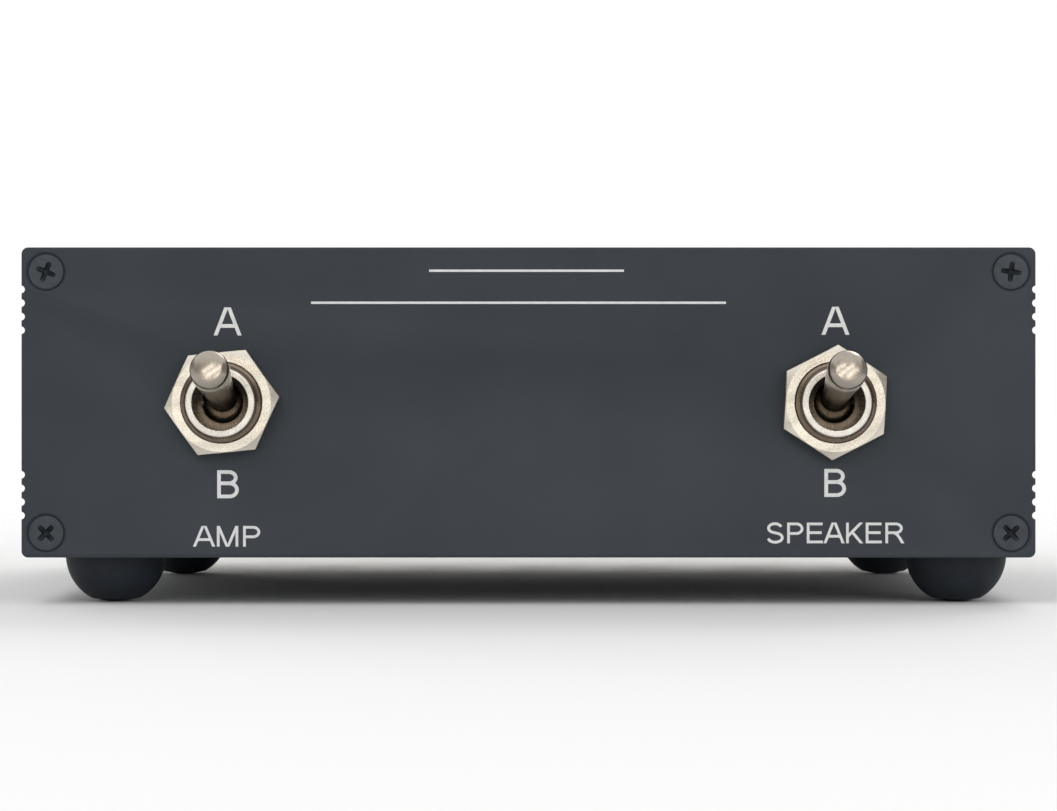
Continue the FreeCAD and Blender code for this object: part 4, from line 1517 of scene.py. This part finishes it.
@dataclass
class BindingPosts:
    """Sixteen posts: smoky washers, gilt studs, and screw caps of metal and clear plastic."""

    first_x: float = -66.675
    pitch_x: float = 19.05
    low_z: float = 18.65
    high_z: float = 41.05
    washer_radius: float = 7.5
    washer_thickness: float = 2.4
    spigot_radius: float = 4.4
    spigot_depth: float = 1.9
    stud_radius: float = 1.77
    stud_bore: float = 1.82
    stud_divisions: int = 24
    flange_radius: float = 4.2
    flange_top: float = 3.9
    skirt_radius: float = 6.9
    skirt_top: float = 2.58
    thread_pitch: float = 0.7
    thread_depth: float = 0.15
    wire_hole_radius: float = 0.8
    wire_hole_y: float = 6.3
    seat: float = 4.1
    collar_radius: float = 5.5
    collar_height: float = 2.5
    core_radius: float = 4.5
    tip: float = 26.5
    socket_radius: float = 2.05
    socket_bevel: float = 0.55
    socket_floor: float = 10.0
    knurl_teeth: int = 48
    knurl_depth: float = 0.22
    grip_bore: float = 4.44
    grip_pit: float = 5.2
    rim_start: float = 2.7
    rim_radius: float = 7.2
    head_radius: float = 6.3
    turn_step: float = 37.0

    def build(self, shop: Workshop) -> None:
        """Build every post.

        Args:
            shop: the shared workshop.
        """
        banks = [f"{box}_{bank}" for box in ("amp", "speaker") for bank in "ab"]
        columns = [f"{bank}_{channel}" for bank in banks for channel in ("left", "right")]
        places = [
            (f"{name}_{sign}", Vector((self.first_x + self.pitch_x * column, REAR_FACE, z)))
            for column, name in enumerate(columns)
            for sign, z in (("minus", self.low_z), ("plus", self.high_z))
        ]
        spots = [place for _, place in places]
        washers = shop.marks.put("washers", self.washer(), spots, Look.SMOKY, None, math.pi, 3)
        insulators = "smoky_plastic", "post_outer_insulators"
        shop.mount("post_washers", washers, Look.SMOKY, *insulators)
        rods = shop.marks.put("rods", self.stud(shop), spots, Look.STUD)
        shop.mount("post_rods", rods, Look.STUD, "gold_metal", "post_studs")
        parts = (
            (self.core(shop), "socket_core", "core", Look.GOLD, "gold_metal"),
            (self.grip(), "clear_grip", "grip", Look.CLEAR, "clear_plastic"),
        )
        for number, (cap, place) in enumerate(places, 1):
            turn = Matrix.Rotation(math.radians(number * self.turn_step % 45), 4, "Y")
            at = Matrix.Translation(place * MM) @ turn
            for mesh, name, part, look, slot in parts:
                names = f"{cap}_{name}", f"{cap}_{part}", f"{cap}_cap_{part}"
                shop.mount(names[0], mesh.copy(), look, slot, names[1], names[2], at)
        for mesh, *_ in parts:
            bpy.data.meshes.remove(mesh)

    def washer(self) -> Mesh:
        """An insulating washer with a spigot that fills the panel's hole.

        Returns:
            The mesh.
        """
        rim, top = self.washer_radius, self.washer_thickness
        rows = (
            (self.stud_bore, -self.spigot_depth, 0.08),
            (self.spigot_radius, -self.spigot_depth, 0.15),
            (self.spigot_radius, 0.0),
            (rim, 0.0, 0.15),
            (rim, top - 0.5, 0.2),
            (rim - 0.5, top, 0.2),
            (self.stud_bore, top, 0.08),
        )
        return Turning(rows, 96, closed=True).mesh("washer")

    def stud(self, shop: Workshop) -> Mesh:
        """A threaded rod with a clamping flange and a cross hole for bare wire.

        Args:
            shop: the shared workshop.

        Returns:
            The mesh.
        """
        root = self.stud_radius - self.thread_depth - 0.01
        face, skirt, flange = self.washer_thickness, self.skirt_top, self.flange_top
        rows = (
            (0.0, -11.0),
            (root - 0.3, -11.0),
            (root, -10.6),
            (root, face),
            (self.skirt_radius, face),
            (self.skirt_radius, skirt),
            (self.flange_radius, skirt),
            (self.flange_radius, flange, 0.12),
            (root, flange),
            (root, 9.1),
            (root - 0.4, 9.5, 0.06),
            (0.85, 9.5, 0.05),
            (0.0, 9.0),
        )
        drill = pin(self.wire_hole_radius, -3.0, 3.0)
        place = Matrix.Translation(Vector((0.0, self.wire_hole_y, 0.0)) * MM)
        drill.transform(place @ Matrix.Rotation(math.pi / 2, 4, "X"))
        parts = [cut(Turning(rows, 40).mesh("rod"), drill, "rod")]
        sizes = self.thread_pitch, self.thread_depth, self.stud_divisions
        for span in ((-10.5, -4.5), (7.3, 9.0)):
            parts.append(shop.thread.wind(root, span, *sizes, Look.STUD))
        return joined("stud", parts, stamp=True)

    def core(self, shop: Workshop) -> Mesh:
        """A cap's metal core: threaded foot, knurled collar, and a socket from its tip.

        Args:
            shop: the shared workshop.

        Returns:
            The mesh.
        """
        seat, tip, radius, ring = self.seat, self.tip, self.core_radius, self.knurl_depth
        collar, collar_top = self.collar_radius - ring, seat + self.collar_height
        mouth, bevel = self.socket_radius, self.socket_bevel
        rows = (
            (self.stud_bore + 0.25, seat),
            (collar, seat, 0.15),
            (collar, collar_top, 0.15),
            (radius, collar_top, 0.1),
            (radius, 14.4, 0.1),
            (radius - 0.35, 14.8, 0.1),
            (radius - 0.35, 15.8, 0.1),
            (radius, 16.2, 0.1),
            (radius, tip - 0.28, 0.14),
            (radius - 0.3, tip, 0.14),
            (mouth + bevel, tip, 0.05),
            (mouth + 0.07, tip - 0.36, 0.03),
            (mouth, tip - bevel, 0.03),
            (mouth, self.socket_floor),
            (self.stud_bore, self.socket_floor),
            (self.stud_bore, seat + 0.3),
        )
        turned = Turning(rows, 96, closed=True).mesh("core")
        knurl = shop.teeth.run(
            "knurl",
            count=self.knurl_teeth,
            radius=collar * MM,
            size=ring * MM,
            length=(self.collar_height - 0.5) * MM,
            start=(seat + self.collar_height / 2) * MM,
            jitter=0.06,
            seed=5,
            material=Look.GOLD.material,
        )
        return joined("core", [turned, knurl], 34.0, stamp=True)

    def grip(self) -> Mesh:
        """A cap's clear grip: round rim, barrel and waist, and an eight-sided head.

        Returns:
            The mesh.
        """
        foot, rim, head = self.rim_start, self.rim_radius, self.head_radius
        pit_top = self.seat + self.collar_height - 0.1
        rows = (
            (self.grip_pit, foot, 0.1),
            (rim, foot, 0.25),
            (rim, foot + 2.9, 0.3),
            (6.4, foot + 3.7, 0.4),
            (6.4, 10.5, 0.4),
            (5.7, 11.3, 0.5),
            (5.7, 16.9, 0.2),
            (5.75, 17.0, 0.05),
            (head, 17.1, 0.12, 1.0),
            (head, 25.45, 0.1, 1.0),
            (head - 0.4, 25.9, 0.15, 0.9),
            (self.grip_bore, 25.9),
            (self.grip_bore, pit_top, 0.05),
            (self.grip_pit, pit_top, 0.1),
        )
        return Turning(rows, 144, closed=True, ridge=0.012, hollow=0.012).mesh("grip")


@dataclass
class ToggleSwitch:
    """One toggle switch: bushing, bracket, front nut and bat lever."""

    name: str
    x: float
    nut_turn: float
    middle: float = 30.45
    stand: float = 4.7
    bushing_radius: float = 5.95
    bushing_bevel: float = 0.87
    thread_depth: float = 0.36
    thread_pitch: float = 0.79
    thread_divisions: int = 64
    mouth: float = 4.22
    neck: float = 3.1
    cavity: float = 3.4
    plate_start: float = 7.3
    plate_thickness: float = 0.8
    half_width: float = 14.8
    half_height: float = 10.0
    tab_width: float = 10.0
    tab_length: float = 9.0
    nut_flats: float = 15.0
    nut_thickness: float = 2.5
    nut_bevel: float = 0.15
    nut_edge: float = 0.12
    nut_segments: int = 120
    pivot: float = 2.5
    tilt: float = -12.0
    ball_radius: float = 3.3
    bat_radius: float = 2.85
    shaft_radius: float = 2.0
    stem_radius: float = 1.6
    pin_radius: float = 0.85

    def build(self, shop: Workshop) -> None:
        """Build the switch's bushing and lever.

        Args:
            shop: the shared workshop.
        """
        name, nickel = self.name, (Look.NICKEL, "nickel")
        at = Matrix.Translation(Vector((self.x, FRONT_FACE, self.middle)) * MM)
        bushing = self.bushing(shop)
        shop.mount(f"{name}_bushing", bushing, *nickel, f"{name}_switch_frame", matrix=at)
        raised = Matrix.Translation(Vector((0.0, self.pivot * MM, 0.0)))
        at = at @ raised @ Matrix.Rotation(math.radians(self.tilt), 4, "X")
        names = f"{name}_switch_lever", f"{name}_lever"
        shop.mount(f"{name}_bat", self.bat(), Look.LEVER, "nickel", *names, at)

    def nut(self) -> Mesh:
        """The hexagon nut that clamps the switch, turned to a cone at its outer corners.

        Returns:
            The mesh, in place on the panel.
        """
        bore, bevel, edge = self.bushing_radius + 0.05, self.nut_bevel, self.nut_edge
        thick, flat, half = self.nut_thickness, self.nut_flats / 2, math.pi / 6
        face, slope = flat * 0.985, math.tan(math.radians(30))
        turns = full_turn(self.nut_segments)
        reach = [flat / math.cos(half - off_corner(turn, half)) for turn in turns]
        cone = [(radius, max(0.0, (radius - face) * slope)) for radius in reach]

        def plain(radius: float, depth: float) -> Rows:
            """A round ring."""
            return [(radius, depth)] * len(turns)

        work = bmesh.new()
        rings = (
            plain(bore, thick - bevel),
            plain(bore, bevel),
            plain(bore + bevel, 0.0),
            plain(face - edge, 0.0),
            plain(face, 0.0),
            [(radius - 0.05, max(0.0, drop - 0.03)) for radius, drop in cone],
            [(radius, drop + 0.05) for radius, drop in cone],
            [(radius, thick - edge) for radius in reach],
            [(radius - edge, thick) for radius in reach],
            plain(bore + bevel, thick),
        )
        rows = [
            [work.verts.new(around(*place, turn)) for place, turn in zip(ring, turns)]
            for ring in rings
        ]
        bridge(work, rows, closed=True)
        mesh = finished_mesh(work, f"{self.name}_nut", CRISP)
        place = Vector((self.x, FRONT_FACE - thick, self.middle)) * MM
        turn = Matrix.Rotation(math.radians(-self.nut_turn), 4, "Y")
        mesh.transform(Matrix.Translation(place) @ turn)
        return mesh

    def bushing(self, shop: Workshop) -> Mesh:
        """The threaded bushing with its conical mouth, and the bracket behind it.

        Args:
            shop: the shared workshop.

        Returns:
            The mesh.
        """
        face, outer, plate = -self.stand, self.bushing_radius, self.plate_start
        root, thick = outer - self.thread_depth, self.plate_thickness
        back, shoulder = plate + thick, face + 4.0
        rows = (
            (self.mouth, face, 0.08),
            (outer - self.bushing_bevel, face, 0.12),
            (root - 0.1, face + 0.55, 0.1),
            (root, face + 0.9),
            (root, back),
            (self.cavity, back),
            (self.cavity, shoulder + 4.0 / 3),
            (self.neck, shoulder + 2.0 / 3),
            (self.neck, shoulder, 0.1),
        )
        sleeve = Turning(rows, 96, closed=True).mesh("sleeve")
        sizes = self.thread_pitch, self.thread_depth - 0.01, self.thread_divisions
        thread = shop.thread.wind(root, (face + 1.0, plate - 0.1), *sizes, Look.NICKEL)
        work = bmesh.new()
        wide, tall, tab = self.half_width, self.half_height, self.tab_width / 2
        box_into(work, Vector((-wide, plate, -tall)), Vector((wide, back, tall)))
        for sign in (-1, 1):
            low, high = sorted((sign * wide, sign * (wide - thick)))
            end = Vector((high, plate + self.tab_length, tab))
            box_into(work, Vector((low, plate + 0.1, -tab)), end)
        hole = pin(root - 0.3, plate - 1, back + 1, 48)
        bracket = cut(finished_mesh(work, "bracket"), hole, "bracket")
        parts = [sleeve, thread, bevelled(bracket, 0.15, "bracket")]
        return joined("bushing", parts, stamp=True)

    def bat(self) -> Mesh:
        """The bat lever from its domed tip to the stem that moves the contacts.

        Returns:
            The mesh.
        """
        ball, bat = self.ball_radius, self.bat_radius
        shaft, stem = self.shaft_radius, self.stem_radius
        turns = [math.radians(angle) for angle in range(-48, 50, 8)]
        rounded = [(ball * math.cos(turn), ball * math.sin(turn)) for turn in turns]
        rows = (
            (0.0, -24.0),
            (0.7, -23.974),
            (1.4, -23.897),
            (2.05, -23.779, 0.25),
            (bat, -22.9, 0.7),
            (bat, -20.5, 0.6),
            (shaft, -6.0, 0.8),
            (shaft, rounded[0][1] - 0.35, 0.2),
            *rounded,
            (stem, rounded[-1][1] + 0.2, 0.2),
            (stem, 9.0),
            (0.0, 9.0),
        )
        drill = pin(self.pin_radius, -5.0, 5.0)
        drill.transform(Matrix.Rotation(math.pi / 2, 4, "Z"))
        return cut(Turning(rows, 72).mesh("bat"), drill, "bat")


@dataclass
class Insides:
    """CAD pieces that stay as they are: they only need a finish and softer edges."""

    # The CAD nodes, their look, their slot in the record and the width of their bevels.
    looks: tuple[tuple[str, Look, str, float], ...] = (
        ("post_inner_insulators", Look.BLACK, "black_plastic", 0.1),
        ("post_solder_lugs switch_terminals", Look.TINNED, "tinned_metal", 0.05),
        ("post_nuts", Look.GILT, "gold_metal", 0.1),
        ("switch_back_nuts", Look.PLATED, "nickel", 0.1),
        ("switch_lock_washers", Look.PLATED, "nickel", 0.05),
        ("switch_pivot_pins", Look.STEEL, "steel", 0.05),
        ("amp_switch_base speaker_switch_base", Look.MOULDING, "switch_moulding", 0.1),
        ("amp_switch_actuator speaker_switch_actuator", Look.ACTUATOR, "actuator_plastic", 0.08),
        ("amp_switch_rockers speaker_switch_rockers", Look.CONTACT, "contact_metal", 0.05),
    )

    def build(self, shop: Workshop, nodes: dict[str, Object]) -> None:
        """Finish every CAD node that stays in view.

        Args:
            shop: the shared workshop.
            nodes: the CAD nodes by name.
        """
        for names, *finish in self.looks:
            for name in names.split():
                shop.dress(nodes[name], *finish)


@dataclass
class Studio:
    """Floor, lamps, world and camera."""

    floor_reach: float = 500.0
    aim_height: float = 30.0
    camera_distance: float = 507.6
    camera_height: float = 30.0
    lens: float = 103.4
    sensor: float = 36.0
    sky: float = 0.62
    key: float = 5.0
    fill: float = 2.4
    card_reach: float = 1200.0
    side_reach: float = 1400.0
    card_half_width: float = 1200.0
    card_low: float = -500.0
    card_high: float = 1030.0
    strip_y: float = -1190.0
    strip_middles: tuple[float, ...] = (-102.0, 248.0)
    strip_height: float = 445.0
    strip_length: float = 560.0
    strip_width: float = 80.0
    strip_gap: float = 216.0
    strip_lean: float = 38.0

    def build(self) -> None:
        """Set the studio up round the finished object."""
        reach = self.floor_reach
        corners = [Vector((x, y, 0.0)) for x, y in self.square(reach, -reach, reach)]
        self.sheet("floor", corners, Look.FLOOR)
        self.world()
        for name, place, size, power in (
            ("key_front", (-500.0, -900.0, 900.0), 700.0, self.key),
            ("fill_front", (700.0, -900.0, 300.0), 500.0, self.fill),
            ("key_rear", (500.0, 900.0, 900.0), 700.0, self.key),
            ("fill_rear", (-700.0, 900.0, 300.0), 500.0, self.fill),
        ):
            self.lamp(name, Vector(place), size, power)
        corners = self.square(self.card_half_width, self.card_low, self.card_high)
        for y, name, look in (
            (-self.card_reach, "front_card", Look.CARD),
            (self.card_reach, "rear_card", Look.REAR_CARD),
        ):
            self.glow(name, [Vector((a, y, z)) for a, z in corners], look)
        for x, name, look in (
            (-self.side_reach, "left_card", Look.LEFT_CARD),
            (self.side_reach, "right_card", Look.RIGHT_CARD),
        ):
            self.glow(name, [Vector((x, a, z)) for a, z in corners], look)
        for x in self.strip_middles:
            self.strips(x)
        self.camera()

    def square(self, wide: float, low: float, high: float) -> list[tuple[float, float]]:
        """The corners of a flat sheet, by its half width and its ends."""
        return [(-wide, low), (wide, low), (wide, high), (-wide, high)]

    def sheet(self, name: str, places: list[Vector], look: Look) -> Object:
        """Put up a flat sheet that isn't part of the object.

        Args:
            name: its name.
            places: its corners.
            look: its finish.

        Returns:
            The sheet.
        """
        work = bmesh.new()
        work.faces.new([work.verts.new(place * MM) for place in places])
        mesh = bpy.data.meshes.new(name)
        work.to_mesh(mesh)
        work.free()
        mesh.materials.append(look.material)
        obj = new_object(name, mesh)
        return obj

    def glow(self, name: str, places: list[Vector], look: Look) -> None:
        """Put up a sheet that only metal and plastic reflect.

        Args:
            name: its name.
            places: its corners.
            look: how it glows.
        """
        obj = self.sheet(name, places, look)
        obj.visible_camera = False
        obj.visible_diffuse = False
        obj.visible_transmission = False
        obj.visible_shadow = False

    def strips(self, x: float) -> None:
        """Hang two narrow slanted lights that a lever's tip reflects.

        Args:
            x: where the middle between them is.
        """
        lean = math.radians(self.strip_lean)
        along = Vector((math.cos(lean), 0.0, math.sin(lean))) * self.strip_length / 2
        across = Vector((-math.sin(lean), 0.0, math.cos(lean)))
        side = across * self.strip_width / 2
        for sign in (-1, 1):
            gap = across * sign * self.strip_gap / 2
            middle = Vector((x, self.strip_y, self.strip_height)) + gap
            ends = (-along - side, along - side, along + side, -along + side)
            self.glow(f"strip_{x:.0f}_{sign}", [middle + end for end in ends], Look.STRIP)

    def world(self) -> None:
        """White for the camera, metal and plastic, and softer light for the rest."""
        world = bpy.data.worlds.new("studio")
        bpy.context.scene.world = world
        world.use_nodes = True
        graph = NodeGraph(world.node_tree)
        graph.tree.nodes.clear()
        rays = graph.add("ShaderNodeLightPath").outputs
        seen = rays["Is Camera Ray"]
        for other in ("Is Glossy Ray", "Is Transmission Ray"):
            seen = graph.math("MAXIMUM", seen, rays[other])
        level = graph.add("ShaderNodeMapRange", {"Value": seen, "To Min": self.sky, "To Max": 1.0})
        links = {"Color": (1.0, 1.0, 1.0, 1.0), "Strength": level.outputs["Result"]}
        back = graph.add("ShaderNodeBackground", links).outputs[0]
        graph.add("ShaderNodeOutputWorld", {"Surface": back})

    def lamp(self, name: str, place: Vector, size: float, power: float) -> None:
        """Hang a soft square lamp that points at the object.

        Args:
            name: its name.
            place: where it is.
            size: its side.
            power: its power in watts.
        """
        light = bpy.data.lights.new(name, "AREA")
        light.shape = "SQUARE"
        light.size = size * MM
        light.energy = power
        obj = new_object(name, light)
        obj.location = place * MM
        aim = Vector((0.0, 0.0, self.aim_height)) * MM - obj.location
        obj.rotation_euler = aim.to_track_quat("-Z", "Y").to_euler()
        obj.visible_glossy = place.y > 0.0

    def camera(self) -> None:
        """Look straight at the front panel."""
        data = bpy.data.cameras.new("camera")
        data.lens = self.lens
        data.sensor_width = self.sensor
        data.clip_start = 0.01
        obj = new_object("camera", data)
        obj.location = Vector((0.0, -self.camera_distance, self.camera_height)) * MM
        obj.rotation_euler = (math.pi / 2, 0.0, 0.0)
        scene = bpy.context.scene
        scene.camera = obj
        scene.view_settings.view_transform = "Standard"


def main() -> None:
    """Build the object in order: case, printing, posts, switches, insides and studio."""
    logging.basicConfig(level=logging.INFO, format="%(name)s: %(message)s")
    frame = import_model()
    nodes = frame["nodes"]
    shop = Workshop()
    Case().build(shop, nodes)
    Legends().build(shop)
    BindingPosts().build(shop)
    switches = (ToggleSwitch("amp", -45.8, 5.6), ToggleSwitch("speaker", 45.8, 27.0))
    for switch in switches:
        switch.build(shop)
    nuts = joined("front_nuts", [switch.nut() for switch in switches], CRISP)
    shop.mount("front_nuts", nuts, Look.NUT, "nickel", "switch_front_nuts")
    Insides().build(shop, nodes)
    Studio().build()
    log.info("%d pieces", len(shop.made))


if __name__ == "__main__":
    main()
